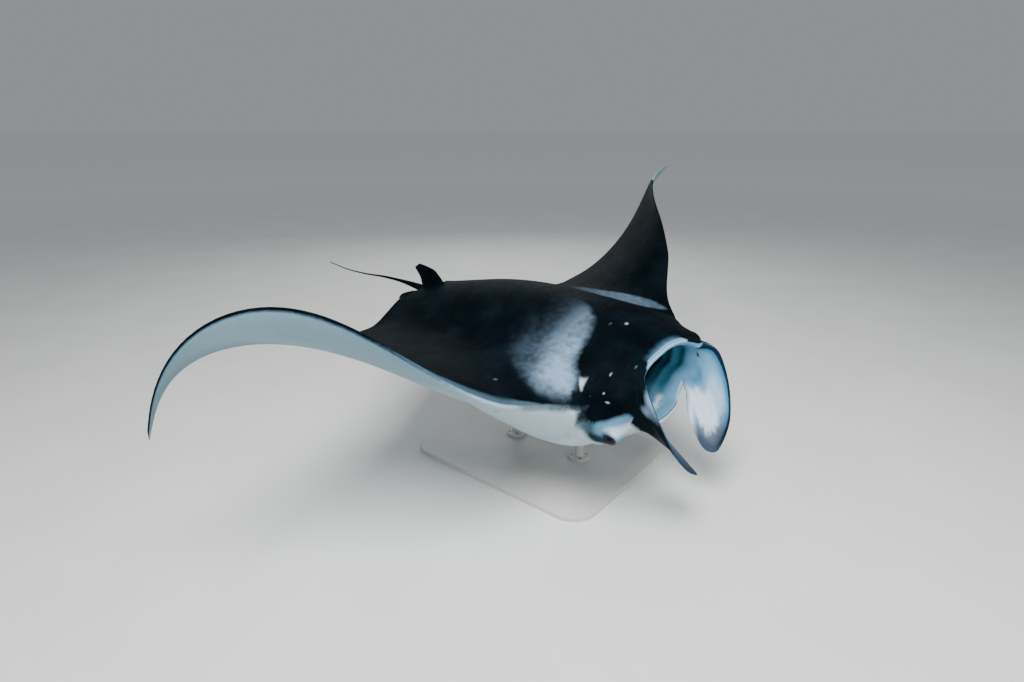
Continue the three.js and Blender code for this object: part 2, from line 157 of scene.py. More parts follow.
def wing_height(s, c, top):
    thickness = wing_top(s) if top else wing_bottom(s)
    return (1 if top else -1) * (thickness * section(c) + EDGE * math.sqrt(c))


def oval(a, power):
    """A quarter of an oval, a from 0 at the crown to 1 at the side; less power, squarer corner."""
    turn = a * math.pi / 2
    return math.sin(turn), math.cos(turn) ** power if a < 1 else 0.0


def squareness(g, top):
    return mix(1.15, 0.4, g * g) if top else mix(0.38, 0.9, g ** 3)


def trunk_point(a, c, top):
    """a runs from the midline, 0, to the side, 1, and c from the neck to the rear edge."""
    middle_x = mix(NECK, rear_edge(0), c)
    middle_z = (mid_top if top else mid_bottom)(middle_x)
    side_z = wing_height(SIDE, c, top)
    side_slope = (wing_height(SIDE + 0.04, c, top) - side_z) / 0.04
    dome = (middle_z * (1 + 2 * a) * (1 - a) ** 2 + side_z * a * a * (3 - 2 * a)
            - side_slope * SIDE * a * a * (1 - a))
    outward, upward = oval(a, squareness(0, top))
    head_shape = smooth(NECK - (0.3 if top else 0.7), NECK, middle_x)
    s = SIDE * mix(a, outward, head_shape)
    z = mix(dome, mix(side_z, middle_z, upward), head_shape)
    return Vector((mix(NECK, rear_edge(s), c), s, z))


# Head: g runs from the neck, 0, to the rim of the mouth, 1
half_width = through((0, 0.360), (0.4, 0.358), (0.7, 0.343), (0.87, 0.312), (1, 0.266))
side_height = through((0, 0), (0.5, -0.028), (1, -0.040))
head_top = through((0, 0.160), (0.5, 0.142), (1, 0.118))
head_bottom = through((0, -0.236), (0.5, -0.220), (1, -0.196))
upper_rim = through((0, 0.522), (0.5, 0.532), (0.72, 0.556), (1, 0.556))
lower_rim = through((0, 0.560), (0.25, 0.552), (0.45, 0.530), (0.72, 0.526), (1, 0.556))


def head_point(a, g, top):
    outward, upward = oval(a, squareness(g, top))
    crown = (head_top if top else head_bottom)(g)
    front = (upper_rim if top else lower_rim)(a)
    return Vector((mix(NECK, front, g), half_width(g) * outward, mix(side_height(g), crown, upward)))


# Mouth: d runs from the rim, 0, to the throat, 1. The inner ends of the gill slits part its side walls
LIP = 0.030
THROAT = Vector((0.150, 0.120, -0.050))
ARCHES = [0.15, 0.27, 0.40, 0.54, 0.69]     # depths of the five slits
ARCH_DEPTH = 0.016


def mouth_slit(a, d, top):
    """How far the wall falls back into a gill slit, 0 to 1."""
    v = a if top else 2 - a
    beside = smooth(0.60, 0.86, v) * (1 - smooth(1.36, 1.66, v))
    return beside * max(math.exp(-((d - at) / 0.024) ** 2) for at in ARCHES)


def mouth_point(a, d, top):
    outward, upward = oval(a, squareness(1, top))
    fall = ARCH_DEPTH * mouth_slit(a, d, top)
    width = mix(half_width(1) - LIP, THROAT.y, d) + fall
    crown = mix(head_top(1) - LIP if top else head_bottom(1) + LIP, THROAT.z, d ** 1.5)
    side = mix(side_height(1), THROAT.z, d)
    return Vector((mix(head_point(a, 1, top).x, THROAT.x, d), width * outward, mix(side, crown, upward)))


# Cephalic fins: the free edge runs from the upper corner of the mouth, 0, over the tip to the lower, 1
CORNER = {True: 0.72, False: 0.70}
RIM = 0.014             # how far the rounded lips stand forward of the rim
FIN_BULGE = Vector((0.05, 0.06, 0.03))
fin_x = through((0, 0.577), (0.1, 0.626), (0.2, 0.678), (0.3, 0.720), (0.4, 0.753), (0.5, 0.754),
                (0.6, 0.716), (0.75, 0.640), (0.9, 0.584), (1, 0.546))
fin_y = through((0, 0.228), (0.1, 0.272), (0.2, 0.275), (0.3, 0.256), (0.4, 0.206), (0.5, 0.108),
                (0.6, 0.074), (0.75, 0.093), (0.9, 0.150), (1, 0.222))
fin_z = through((0, 0.086), (0.1, 0.042), (0.2, -0.047), (0.3, -0.138), (0.4, -0.229), (0.5, -0.309),
                (0.6, -0.314), (0.75, -0.240), (0.9, -0.166), (1, -0.112))


def root_point(a, top):
    return head_point(a, 1, top).lerp(mouth_point(a, 0, top), 0.5)


def edge_point(a, top):
    corner = CORNER[top]
    along = max(a - corner, 0) / (1 - corner) / 2
    t = along if top else 1 - along
    lip = root_point(a, top) + Vector((RIM, 0, 0))
    return lip.lerp(Vector((fin_x(t), fin_y(t), fin_z(t))), smooth(corner - 0.12, corner + 0.08, a))


def rib_point(v, w):
    """The middle of lips and fins. v runs round the mouth, 0 to 2, and w from the root to the edge."""
    a, top = (v, True) if v <= 1 else (2 - v, False)
    root = root_point(a, top)
    edge = edge_point(a, top)
    bow = root.lerp(edge, 0.5) + FIN_BULGE * max((edge - root).length - RIM, 0)
    return root.lerp(bow, w).lerp(bow.lerp(edge, w), w)


def face_point(a, w, top, outer):
    root = head_point(a, 1, top) - mouth_point(a, 0, top)
    reach = (edge_point(a, top) - root_point(a, top)).length
    blade = smooth(2 * RIM, 10 * RIM, reach)
    v = a if top else 2 - a
    near = 0.02
    across = rib_point(min(v + near, 2), w) - rib_point(max(v - near, 0), w)
    along = rib_point(v, min(w + near, 1)) - rib_point(v, max(w - near, 0))
    normal = along.cross(across).normalized()
    thin = mix(1, 0.45, blade * smooth(0, 0.4, w))
    half_thickness = mix(EDGE, root.length / 2, math.sqrt(max(1 - w * w, 0)) * thin)
    direction = root.normalized().lerp(normal, smooth(0, 0.5, w)).normalized()
    return rib_point(v, w) + direction * (half_thickness if outer else -half_thickness)


def skin_point(a, along, top):
    """A place on head or trunk: a from the midline, and along from the rear edge, 0, by the neck, 1, the
    rim of the mouth, 2, the free edge of lips and fins, 3, and the rim's inside, 4, to the throat, 5."""
    zone = min(int(along), 4)
    t = along - zone
    if zone == 0:
        flat = trunk_point(a, 1 - t, top)
    elif zone == 1:
        flat = head_point(a, t, top)
    elif zone == 2:
        flat = face_point(a, t, top, True)
    elif zone == 3:
        flat = face_point(a, 1 - t, top, False)
    else:
        flat = mouth_point(a, t, top)
    return flat if a else Vector((flat.x, 0, flat.z))


# ---- The skin's mesh ----
# One closed surface over trunk, wings, head, mouth and cephalic fins, made row by row from the
# midline out to each wing tip, and made finer at the eyes and gills. Every point keeps its flat
# place, its place round the mouth and its way from the disc's edges, so the markings can follow it.
LIP_ROWS, FIN_ROWS, WING_ROWS = 24, 26, 60
CHORD_STEPS, HEAD_STEPS, RIB_STEPS, MOUTH_STEPS = 42, 16, 20, 40
HAIR = 1e-6             # keeps the two faces of a free edge apart
chord = [1 - math.cos(math.pi / 2 * t) for t in steps(CHORD_STEPS)]
ribs = [1 - (1 - t) ** 1.5 for t in steps(RIB_STEPS)]
lengthwise = [1 - c for c in reversed(chord)]
lengthwise += [1 + g for g in steps(HEAD_STEPS)[1:]]
lengthwise += [2 + w * (1 - HAIR) for w in ribs[1:]]
lengthwise += [4 - w for w in reversed(ribs[1:])]
lengthwise += [4 + d for d in steps(MOUTH_STEPS)]
shares = [CORNER[True] * t for t in steps(LIP_ROWS)]
shares += [mix(CORNER[True], 1, t ** 1.25) for t in steps(FIN_ROWS)[1:]]
stations = [mix(SIDE, HALF_SPAN, 1 - (1 - t) ** 1.15) for t in steps(WING_ROWS)]

disc = bmesh.new()
flat_layer = disc.verts.layers.float_vector.new("flat")
place_layer = disc.verts.layers.float_vector.new("place")
edge_layer = disc.verts.layers.float_vector.new("edges")


def set_down(vertex, hand, flat, v, along, top):
    """A vertex laid in the flat skin, with what the markings need to know of it."""
    s = flat.y
    past_front = front_edge(max(s, SIDE)) - flat.x + max(SIDE - s, 0)
    vertex.co = (flat.x, hand * s, flat.z)
    vertex[flat_layer] = vertex.co
    vertex[place_layer] = (v, along, 1.0 if top else 0.0)
    vertex[edge_layer] = (past_front if top else -past_front, flat.x - rear_edge(s), 0)


def head_row(hand, a, top):
    row = []
    for along in lengthwise:
        row.append(disc.verts.new())
        set_down(row[-1], hand, skin_point(a, along, top), a if top else 2 - a, along, top)
    return row


def wing_row(hand, s, top):
    row = []
    for c in reversed(chord):
        flat = Vector((mix(front_edge(s), rear_edge(s), c), s, wing_height(s, c, top) if c else 0))
        row.append(disc.verts.new())
        set_down(row[-1], hand, flat, 1, 1 - c, top)
    return row


def skin_between(rows, flip):
    for one, two in zip(rows, rows[1:]):
        for a, b, c, d in zip(one, two, two[1:], one[1:]):
            disc.faces.new((a, d, c, b) if flip else (a, b, c, d))


for hand in (1, -1):
    right = hand == -1
    parts = []
    for row_of, places in ((head_row, shares), (wing_row, stations)):
        upper, lower = ([row_of(hand, p, top) for p in places] for top in (True, False))
        skin_between(upper, not right)
        skin_between(lower, right)
        skin_between([[u[0], l[0]] for u, l in zip(upper, lower)], right)
        parts.append((upper, lower))
    skin_between([parts[1][0][-1], parts[1][1][-1]], not right)
bmesh.ops.remove_doubles(disc, verts=disc.verts, dist=2e-5)
bmesh.ops.dissolve_degenerate(disc, edges=disc.edges, dist=1e-6)
bmesh.ops.recalc_face_normals(disc, faces=disc.faces)


def make_finer(within):
    """Each face with a corner within gets four; the new points are set on the true form."""
    faces = {face for vertex in disc.verts if within(vertex) for face in vertex.link_faces}
    for vertex in disc.verts:
        vertex.tag = True
    edges = list({edge for face in faces for edge in face.edges})
    bmesh.ops.subdivide_edges(disc, edges=edges, cuts=1, use_grid_fill=True)
    for vertex in disc.verts:
        if not vertex.tag and abs(vertex[flat_layer].y) < SIDE + HAIR:
            v, along, upper = vertex[place_layer]
            top = upper > 0.5 if abs(v - 1) < HAIR else v < 1
            hand = 1 if vertex[flat_layer].y > 0 else -1
            set_down(vertex, hand, skin_point(v if top else 2 - v, along, top), v, along, top)


def unsigned(vertex):
    x, y, z = vertex[flat_layer]
    return Vector((x, abs(y), z))


# Eyes: each sits in a low mound, held by a round fold of skin with a heavier brow.
EYE_AXIS = Vector((0.22, 0.95, -0.20)).normalized()     # the way the eye looks
EYE_UP = Vector((0, 0.2, 1)).normalized()
MOUND, CREST, OPENING = 0.078, 0.0240, 0.0195           # radii: mound, top of the fold, its inner edge
FOLD, BROW = 0.0045, 0.0035                             # the fold over the eyeball, and more above it
UNDER_BALL = 0.002                                      # how far the skin stays inside the eyeball
GROOVE, GROOVE_FROM_CREST, GROOVE_WIDTH = 0.0022, 0.012, 0.004


def from_eye(flat):
    """How far a point lies round the eye's axis and along it, and how much it is above the eye."""
    offset = flat - EYE
    along = offset.dot(EYE_AXIS)
    around = offset - EYE_AXIS * along
    return around.length, along, around.dot(EYE_UP) / max(around.length, 1e-6)


def on_outer_skin(vertex, first=0.6, last=2.3):
    """Whether a vertex is on trunk, head or the outside of lips and fins, and not on a wing."""
    return first < vertex[place_layer].y < last and abs(vertex[flat_layer].y) < SIDE + HAIR


EYE_FINER = (0.082, 0.052, 0.032)       # within each of these reaches of the eye, four faces for one
for reach in EYE_FINER:
    make_finer(lambda vertex: on_outer_skin(vertex) and 0.5 < vertex[place_layer].x
               and (unsigned(vertex) - EYE).length < reach)


def round_eye(flat):
    """The skin raised to hold the eye."""
    around, along, above = from_eye(flat)
    if around > MOUND:
        return flat
    brow = BROW * max(above, 0)
    ball = math.sqrt(max(EYE_RADIUS ** 2 - min(around, EYE_RADIUS) ** 2, 0))
    crest = math.sqrt(EYE_RADIUS ** 2 - CREST ** 2) + FOLD + brow
    if around < OPENING:
        height = mix(0.006, ball - UNDER_BALL, smooth(0.5 * OPENING, OPENING, around))
        return flat + EYE_AXIS * (height - along)
    if around < CREST:
        inner = math.sqrt(EYE_RADIUS ** 2 - OPENING ** 2) - UNDER_BALL
        lift = math.sin(math.pi / 2 * (around - OPENING) / (CREST - OPENING))
        return flat + EYE_AXIS * (mix(inner, crest, lift) - along)
    slope = 1 - smooth(0, 1, (around - CREST) / (MOUND - CREST)) ** 0.6
    groove = GROOVE * math.exp(-((around - CREST - GROOVE_FROM_CREST) / GROOVE_WIDTH) ** 2)
    return flat + EYE_AXIS * (max(crest - along, 0) * slope - groove)


# Gills: five pairs of slits under the trunk. The skin in front of each is a flap that hides the slit.
SLITS = [dict(x=mix(0.335, 0.070, k / 4), inner=mix(0.135, 0.105, k / 4), outer=mix(0.300, 0.215, k / 4))
         for k in range(5)]
SLIT_BOW, SLIT_DEPTH, FLAP = 0.020, 0.013, 0.005


def from_slit(slit, flat):
    """(how far in front of a slit's line, how far along it from -1 to 1)"""
    half = (slit["outer"] - slit["inner"]) / 2
    along = (flat.y - slit["inner"] - half) / half
    return flat.x - slit["x"] + SLIT_BOW * along * along, along


def near_slit(vertex, reach):
    if vertex[place_layer].z > 0 or not on_outer_skin(vertex, 0.3, 1.9):
        return False
    ahead, along = zip(*(from_slit(slit, unsigned(vertex)) for slit in SLITS))
    return any(abs(a) < reach and abs(t) < 1.15 for a, t in zip(ahead, along))


SLIT_FINER = (0.026, 0.014, 0.008, 0.003)
for reach in SLIT_FINER:
    make_finer(lambda vertex: near_slit(vertex, reach))


def round_slits(flat):
    """How much the skin is lifted by the flaps before the slits, less the cuts behind them."""
    lift = 0
    for slit in SLITS:
        ahead, along = from_slit(slit, flat)
        if abs(along) < 1.2 and abs(ahead) < 0.05:
            open_here = max(1 - (along / 1.08) ** 4, 0)
            flap = FLAP * smooth(0.045, 0.004, ahead) if ahead > 0 else 0
            cut = -SLIT_DEPTH * smooth(0.003, -0.001, ahead) * smooth(-0.026, -0.002, ahead)
            lift += open_here * (flap * smooth(-0.001, 0.002, ahead) + cut)
    return lift


for vertex in disc.verts:
    flat = unsigned(vertex)
    v, along, top = vertex[place_layer]
    if on_outer_skin(vertex) and (flat - EYE).length < 1.5 * MOUND:
        flat = round_eye(flat)
    if not top and on_outer_skin(vertex, 0.3, 1.9):
        flat = flat - Vector((0, 0, round_slits(flat)))
    hand = -1 if vertex[flat_layer].y < 0 else 1
    vertex.co = bent(hand, flat)


def ease(made, verts, rounds):
    for _ in range(rounds):
        bmesh.ops.smooth_vert(made, verts=verts, factor=0.5,
                              use_axis_x=True, use_axis_y=True, use_axis_z=True)


# Slack skin: the neck and the lower corners of the mouth are eased.
NECK_REACH, NECK_ROUNDS = 0.055, 14
LOWER_CORNER = Vector((0.548, 0.222, -0.112))
CORNER_REACH, CORNER_ROUNDS = 0.032, 10
neck = [vertex for vertex in disc.verts if abs(vertex[place_layer].y - 1) < 0.2
        and abs(vertex[flat_layer].x - NECK) < NECK_REACH and from_eye(unsigned(vertex))[0] > MOUND]
ease(disc, neck, NECK_ROUNDS)
corners = [vertex for vertex in disc.verts if (unsigned(vertex) - LOWER_CORNER).length < CORNER_REACH]
ease(disc, corners, CORNER_ROUNDS)


def shown(name, made):
    """An object from a bmesh, in the scene."""
    mesh = bpy.data.meshes.new(name)
    made.to_mesh(mesh)
    made.free()
    piece = bpy.data.objects.new(name, mesh)
    bpy.context.scene.collection.objects.link(piece)
    return piece


def newly_made(name):
    """The form just added, under its name, with its place, turn and scale in its mesh."""
    piece = bpy.context.object
    piece.name = name
    bpy.ops.object.transform_apply(location=True, rotation=True, scale=True)
    return piece


skin = shown("skin", disc)

# ---- Dorsal fin, pelvic fins and tail ----
# Low fins of the same hide over the root of a whip tail, with no spine. Each is lofted, let into the
# disc and joined to it, and the skin is eased where they meet.
def lofted(name, rings):
    """A closed form from rings of (flat point, top share), with a fan at each end."""
    made = bmesh.new()
    layers = [made.verts.layers.float_vector.new(layer) for layer in ("flat", "place", "edges")]
    middles = [(sum((p for p, _ in ring), Vector()) / len(ring), 0.5) for ring in (rings[0], rings[-1])]

    def vertex(flat, top):
        new = made.verts.new(placed(flat))
        for layer, known_of in zip(layers, (flat, (1, 0.5, top), (0.1 * (top - 0.2), 0.1, 0))):
            new[layer] = known_of
        return new
    loops = [[vertex(*spot) for spot in ring] for ring in rings]
    for one, two in zip(loops, loops[1:]):
        for i in range(len(one)):
            made.faces.new((one[i - 1], one[i], two[i], two[i - 1]))
    for loop, middle in zip((loops[0], loops[-1]), middles):
        hub = vertex(*middle)
        for i in range(len(loop)):
            made.faces.new((loop[i - 1], loop[i], hub))
    bmesh.ops.recalc_face_normals(made, faces=made.faces)
    return shown(name, made)


FIN_STEPS = 24
outline = [1 - math.cos(math.pi / 2 * t) for t in steps(FIN_STEPS)]


def fin_ring(front, rear, half, across, tops, flare):
    """One section of a fin; flare thickens it where it leaves the skin."""
    ring = []
    for sign, top in ((1, tops[0]), (-1, tops[1])):
        face = []
        for c in outline:
            spot = front.lerp(rear, c)
            out = half * section(c) + EDGE * math.sqrt(c) + flare(spot) * math.sin(math.pi * c) ** 0.5
            face.append((spot + across * sign * out, top))
        ring += face if sign > 0 else face[-1:0:-1]
    return ring


dorsal_front = through((0, -0.610), (0.35, -0.640), (0.7, -0.680), (0.9, -0.722), (1, -0.790))
dorsal_rear = through((0, -0.812), (0.35, -0.808), (0.7, -0.832), (0.9, -0.846), (1, -0.832))
DORSAL_FOOT, DORSAL_HEIGHT = 0.020, 0.107
DORSAL_TIP = 0.8                        # share of the height where the round tip begins


def dorsal_flare(spot):
    over = max(spot.z - mid_top(spot.x), 0)
    return 0.016 * math.exp(-over / 0.012)


def dorsal_ring(t):
    """A section of the dorsal fin, drawn in to a round tip near the top."""
    front = Vector((dorsal_front(t), 0, mix(DORSAL_FOOT, 2 * DORSAL_FOOT, t) + DORSAL_HEIGHT * t))
    rear = Vector((dorsal_rear(t), 0, DORSAL_FOOT + DORSAL_HEIGHT * t))
    drawn_in = math.sqrt(1 - (0.97 * max(t - DORSAL_TIP, 0) / (1 - DORSAL_TIP)) ** 2)
    middle = front.lerp(rear, 0.6)
    half = mix(0.013, 0.002, t) * drawn_in
    return fin_ring(middle.lerp(front, drawn_in), middle.lerp(rear, drawn_in), half,
                    Vector((0, 1, 0)), (1, 1), dorsal_flare)


dorsal_fin = lofted("dorsal_fin_form", [dorsal_ring(t) for t in steps(FIN_STEPS)])

pelvic_front = through((0, -0.700), (0.5, -0.728), (0.85, -0.778), (1, -0.818))
pelvic_rear = through((0, -0.825), (0.3, -0.850), (0.7, -0.862), (1, -0.848))
pelvic_fins = [lofted("pelvic_fin_form", [
    fin_ring(Vector((pelvic_front(t), hand * mix(0.030, 0.128, t), mix(0.002, -0.012, t))),
             Vector((pelvic_rear(t), hand * mix(0.030, 0.122, t), mix(0, -0.016, t))),
             mix(0.015, 0.003, t), Vector((0, 0, 1)), (1, 0), lambda spot: 0) for t in steps(FIN_STEPS)])
    for hand in (1, -1)]

TAIL_RINGS, TAIL_SIDES = 110, 20
TAIL_ROOT, TAIL_END = -0.74, -1.6
tail_radius = through((-1.6, 0.0025), (-1.35, 0.004), (-1.1, 0.007), (-0.95, 0.011), (-0.84, 0.019),
                      (-0.76, 0.025))
tail_height = through((-1.6, -0.030), (-1.45, -0.036), (-1.27, -0.024), (-1.1, -0.002), (-0.95, 0.008),
                      (-0.76, 0.006))


def tail_ring(x):
    """An oval section, a little wider than it is high."""
    half_wide, half_high = tail_radius(x), 0.85 * tail_radius(x)
    turns = [2 * math.pi * t for t in steps(TAIL_SIDES)[1:]]
    return [(Vector((x, half_wide * math.cos(turn), tail_height(x) + half_high * math.sin(turn))),
             0.5 + 0.5 * math.sin(turn)) for turn in turns]


tail = lofted("tail_form", [tail_ring(mix(TAIL_ROOT, TAIL_END, t ** 0.85)) for t in steps(TAIL_RINGS)])

# What all parts of the skin know of their places is kept, then the parts are joined.
LAYERS = ("flat", "place", "edges")
known = []
for part in (skin, dorsal_fin, *pelvic_fins, tail):
    columns = [part.data.attributes[layer].data for layer in LAYERS]
    known += [(vertex.co.copy(), [column[vertex.index].vector.copy() for column in columns])
              for vertex in part.data.vertices]


def join_into(target, part):
    """One closed surface round both forms."""
    union = target.modifiers.new("join", "BOOLEAN")
    union.operation = "UNION"
    union.solver = "EXACT"
    union.object = part
    bpy.context.view_layer.objects.active = target
    bpy.ops.object.modifier_apply(modifier=union.name)
    bpy.data.objects.remove(part)


for part in (dorsal_fin, *pelvic_fins, tail):
    join_into(skin, part)

places = KDTree(len(known))
for i, (spot, _) in enumerate(known):
    places.insert(spot, i)
places.balance()
joined = bmesh.new()
joined.from_mesh(skin.data)
vectors = joined.verts.layers.float_vector
for layer in LAYERS:
    if layer in vectors:
        vectors.remove(vectors[layer])
    vectors.new(layer)
layers = [vectors[layer] for layer in LAYERS]
seam = set()
for vertex in joined.verts:
    _, nearest, away = places.find(vertex.co)
    for layer, vector in zip(layers, known[nearest][1]):
        vertex[layer] = vector
    if away > 1e-6:
        seam.add(vertex)

# Easing: the skin round each join is relaxed.
SEAM_RINGS, SEAM_ROUNDS = 3, 6
for _ in range(SEAM_RINGS):
    seam |= {other for vertex in seam for edge in vertex.link_edges for other in edge.verts}
ease(joined, list(seam), SEAM_ROUNDS)
joined.to_mesh(skin.data)
joined.free()
skin.data.shade_smooth()

# ---- The skin's colours ----
# Reef manta markings: black above with two pale shoulder patches, white below, and a dark band down
# each cheek to the eye. The hide is fine as wet leather, and the inside of the mouth is blue-grey.
class Field:
    """A value that changes over a surface, held by a node's output. Sums on it add nodes."""

    def __init__(self, tree, socket):
        self.tree, self.socket = tree, socket

    def sum(self, operation, *others):
        node = self.tree.nodes.new("ShaderNodeMath")
        node.operation = operation
        for slot, source in zip(node.inputs, (self, *others)):
            feed(self.tree, slot, source)
        return Field(self.tree, node.outputs[0])

    def __add__(self, other):
        return self.sum("ADD", other)

    def __sub__(self, other):
        return self.sum("SUBTRACT", other)

    def __mul__(self, other):
        return self.sum("MULTIPLY", other)

    def __rsub__(self, other):
        return self * -1 + other

    def size(self):
        return self.sum("ABSOLUTE")

    def greater(self, other):
        return self.sum("MAXIMUM", other)

    def lesser(self, other):
        return self.sum("MINIMUM", other)

    def rise(self, low, high, start=0.0, end=1.0):
        """Eases from start, at low, to end, at high."""
        node = self.tree.nodes.new("ShaderNodeMapRange")
        node.interpolation_type = "SMOOTHSTEP"
        for slot, source in zip(node.inputs, (self, low, high, start, end)):
            feed(self.tree, slot, source)
        return Field(self.tree, node.outputs[0])

    def vector_sum(self, operation, *others):
        """Arithmetic on a field of vectors."""
        node = self.tree.nodes.new("ShaderNodeVectorMath")
        node.operation = operation
        for slot, source in zip(node.inputs, (self, *others)):
            feed(self.tree, slot, source)
        return Field(self.tree, node.outputs["Value" if operation == "LENGTH" else "Vector"])

    def bump_at(self, centre, reach):
        """1 at centre, easing to 0 at reach to either side."""
        return (self - centre).size().rise(reach, 0)

    def along(self, *knots):
        """A curve through (x, y) knots."""
        left, right = knots[0][0], knots[-1][0]
        low, high = min(y for _, y in knots), max(y for _, y in knots)
        node = self.tree.nodes.new("ShaderNodeFloatCurve")
        node.mapping.extend = "HORIZONTAL"
        points = node.mapping.curves[0].points
        for i, (x, y) in enumerate(knots):
            spot = ((x - left) / (right - left), (y - low) / (high - low))
            if 0 < i < len(knots) - 1:
                points.new(*spot)
            else:
                points[0 if i == 0 else -1].location = spot
        node.mapping.update()
        scaled = (self - left) * (1 / (right - left))
        feed(self.tree, node.inputs["Value"], scaled)
        return Field(self.tree, node.outputs[0]) * (high - low) + low


def feed(tree, slot, source):
    if isinstance(source, Field):
        tree.links.new(source.socket, slot)
    else:
        slot.default_value = source


def attribute(tree, name):
    node = tree.nodes.new("ShaderNodeAttribute")
    node.attribute_name = name
    return Field(tree, node.outputs["Vector"])


def object_place(tree):
    return Field(tree, tree.nodes.new("ShaderNodeTexCoord").outputs["Object"])


def stretched(field, amounts):
    """A place scaled by x, y and z amounts."""
    return field.vector_sum("MULTIPLY", amounts)


def parts_of(field):
    node = field.tree.nodes.new("ShaderNodeSeparateXYZ")
    feed(field.tree, node.inputs[0], field)
    return [Field(field.tree, output) for output in node.outputs]


def place_of(*fields):
    """A place from its x, y and z."""
    tree = fields[0].tree
    node = tree.nodes.new("ShaderNodeCombineXYZ")
    for slot, source in zip(node.inputs, fields):
        feed(tree, slot, source)
    return Field(tree, node.outputs[0])


# Unevenness, which hide, paint, rubber and steel all have, each at its own scale
uneven_group = bpy.data.node_groups.new("unevenness", "ShaderNodeTree")
for name, kind in (("Place", "Vector"), ("Scale", "Float"), ("Detail", "Float")):
    uneven_group.interface.new_socket(name=name, in_out="INPUT", socket_type="NodeSocket" + kind)
uneven_group.interface.new_socket(name="Value", in_out="OUTPUT", socket_type="NodeSocketFloat")
given = uneven_group.nodes.new("NodeGroupInput")
soft_noise = uneven_group.nodes.new("ShaderNodeTexNoise")
for name, slot in (("Place", "Vector"), ("Scale", "Scale"), ("Detail", "Detail")):
    uneven_group.links.new(given.outputs[name], soft_noise.inputs[slot])
round_zero = Field(uneven_group, soft_noise.outputs[0]) - 0.5
uneven_group.links.new(round_zero.socket, uneven_group.nodes.new("NodeGroupOutput").inputs["Value"])


def noise(place, scale, detail=3):
    """Soft unevenness round 0, with features of about 1 / scale metres."""
    node = place.tree.nodes.new("ShaderNodeGroup")
    node.node_tree = uneven_group
    for name, source in (("Place", place), ("Scale", scale), ("Detail", detail)):
        feed(place.tree, node.inputs[name], source)
    return Field(place.tree, node.outputs["Value"])


def cells(place, scale, output="Distance", feature="F1"):
    node = place.tree.nodes.new("ShaderNodeTexVoronoi")
    node.feature = feature
    feed(place.tree, node.inputs["Vector"], place)
    node.inputs["Scale"].default_value = scale
    return Field(place.tree, node.outputs[output])


def spot(place, centre, radii, blur=0.2):
    """1 inside an egg of these radii, 0 outside, with a soft edge."""
    scaled = stretched(place.vector_sum("SUBTRACT", centre), [1 / radius for radius in radii])
    return scaled.vector_sum("LENGTH").rise(1 + blur, 1 - blur)


def tinted(base, colour, cover):
    """A base colour with another over it, as thick as cover says."""
    node = cover.tree.nodes.new("ShaderNodeMix")
    node.data_type = "RGBA"
    feed(cover.tree, node.inputs["Factor"], cover)
    for name, source in (("A", base), ("B", colour)):
        slot = next(slot for slot in node.inputs if slot.name == name and slot.type == "RGBA")
        feed(cover.tree, slot, source if isinstance(source, Field) else (*source, 1))
    return Field(cover.tree, next(out for out in node.outputs if out.type == "RGBA"))


def finish(name, **amounts):
    """(a new material, its tree, its shader), with the amounts set on the shader's own sockets."""
    material = bpy.data.materials.new(name)
    material.use_nodes = True
    shader = material.node_tree.nodes["Principled BSDF"]
    for slot, amount in amounts.items():
        shader.inputs[slot.replace("_", " ").title().replace("Ior", "IOR")].default_value = amount
    return material, material.node_tree, shader


def raised(tree, shader, height):
    """The shader's normal bumped by a height in metres."""
    node = tree.nodes.new("ShaderNodeBump")
    node.inputs["Distance"].default_value = 1
    feed(tree, node.inputs["Height"], height)
    tree.links.new(node.outputs[0], shader.inputs["Normal"])


BLACK, BACK, SMOKE = (0.0005, 0.0020, 0.0034), (0.0020, 0.0062, 0.0095), (0.050, 0.070, 0.100)
CLOUD, BELLY, UNDER = (0.22, 0.33, 0.46), (0.42, 0.53, 0.58), (0.24, 0.36, 0.42)
SHADE, BLUE_GREY, PALE = (0.12, 0.18, 0.23), (0.030, 0.066, 0.098), (0.55, 0.66, 0.78)
SKY, BLUE, TEAL = (0.13, 0.31, 0.47), (0.025, 0.145, 0.290), (0.028, 0.130, 0.190)
DEEP, NAVY = (0.0015, 0.0065, 0.0100), (0.018, 0.034, 0.060)

skin_finish, tree, shader = finish("hide", specular_ior_level=0.015)
flat = attribute(tree, "flat")
x, y, z = parts_of(flat)
out = y.size()
left = y.rise(0.38, 0.46)
v, along, upper = parts_of(attribute(tree, "place"))
front, rear, _ = parts_of(attribute(tree, "edges"))
drift = noise(flat, 9, 4)
ripple = noise(flat, 42)
fleck = noise(flat, 230)
inside = along.rise(2.999, 3.001)
on_lip = along.rise(2.0, 2.02)
depth = along - 4                       # into the mouth

# Underneath: white by the body and grey-blue further out, with a grey rear margin that is deepened by
# painted shade where the rear edge curls, darker toward the tips, faint clouds and a few dark spots on the
# belly.
colour = tinted(BELLY, UNDER, (out + drift * 0.2).rise(0.42, 0.95))
colour = tinted(colour, SKY, front.bump_at(-0.018, 0.022) * out.rise(0.8, 1.0) * 0.35)
# The grey rear margin of the underside: partly its own colour, partly painted shade where the rear edge
# curls.
rear_margin_and_shade = (rear + ripple * 0.03).rise(0.13, 0.03) * (out + drift * 0.2).rise(0.95, 1.2)
colour = tinted(colour, SHADE, rear_margin_and_shade.greater(out.rise(1.30, 1.60)) * 0.55)
colour = tinted(colour, BLUE_GREY, drift.rise(0.05, 0.35) * 0.18)
BELLY_SPOTS = [(0.225, 0.60, -0.030, 0.010), (0.02, 0.07, -0.24, 0.016), (-0.05, 0.13, -0.21, 0.011),
               (-0.12, 0.04, -0.20, 0.018), (-0.20, 0.10, -0.18, 0.012), (-0.30, 0.05, -0.16, 0.014),
               (-0.10, 0.22, -0.17, 0.009), (-0.38, 0.12, -0.13, 0.009)]
either_side = place_of(x + drift * 0.02, out + ripple * 0.02, z)
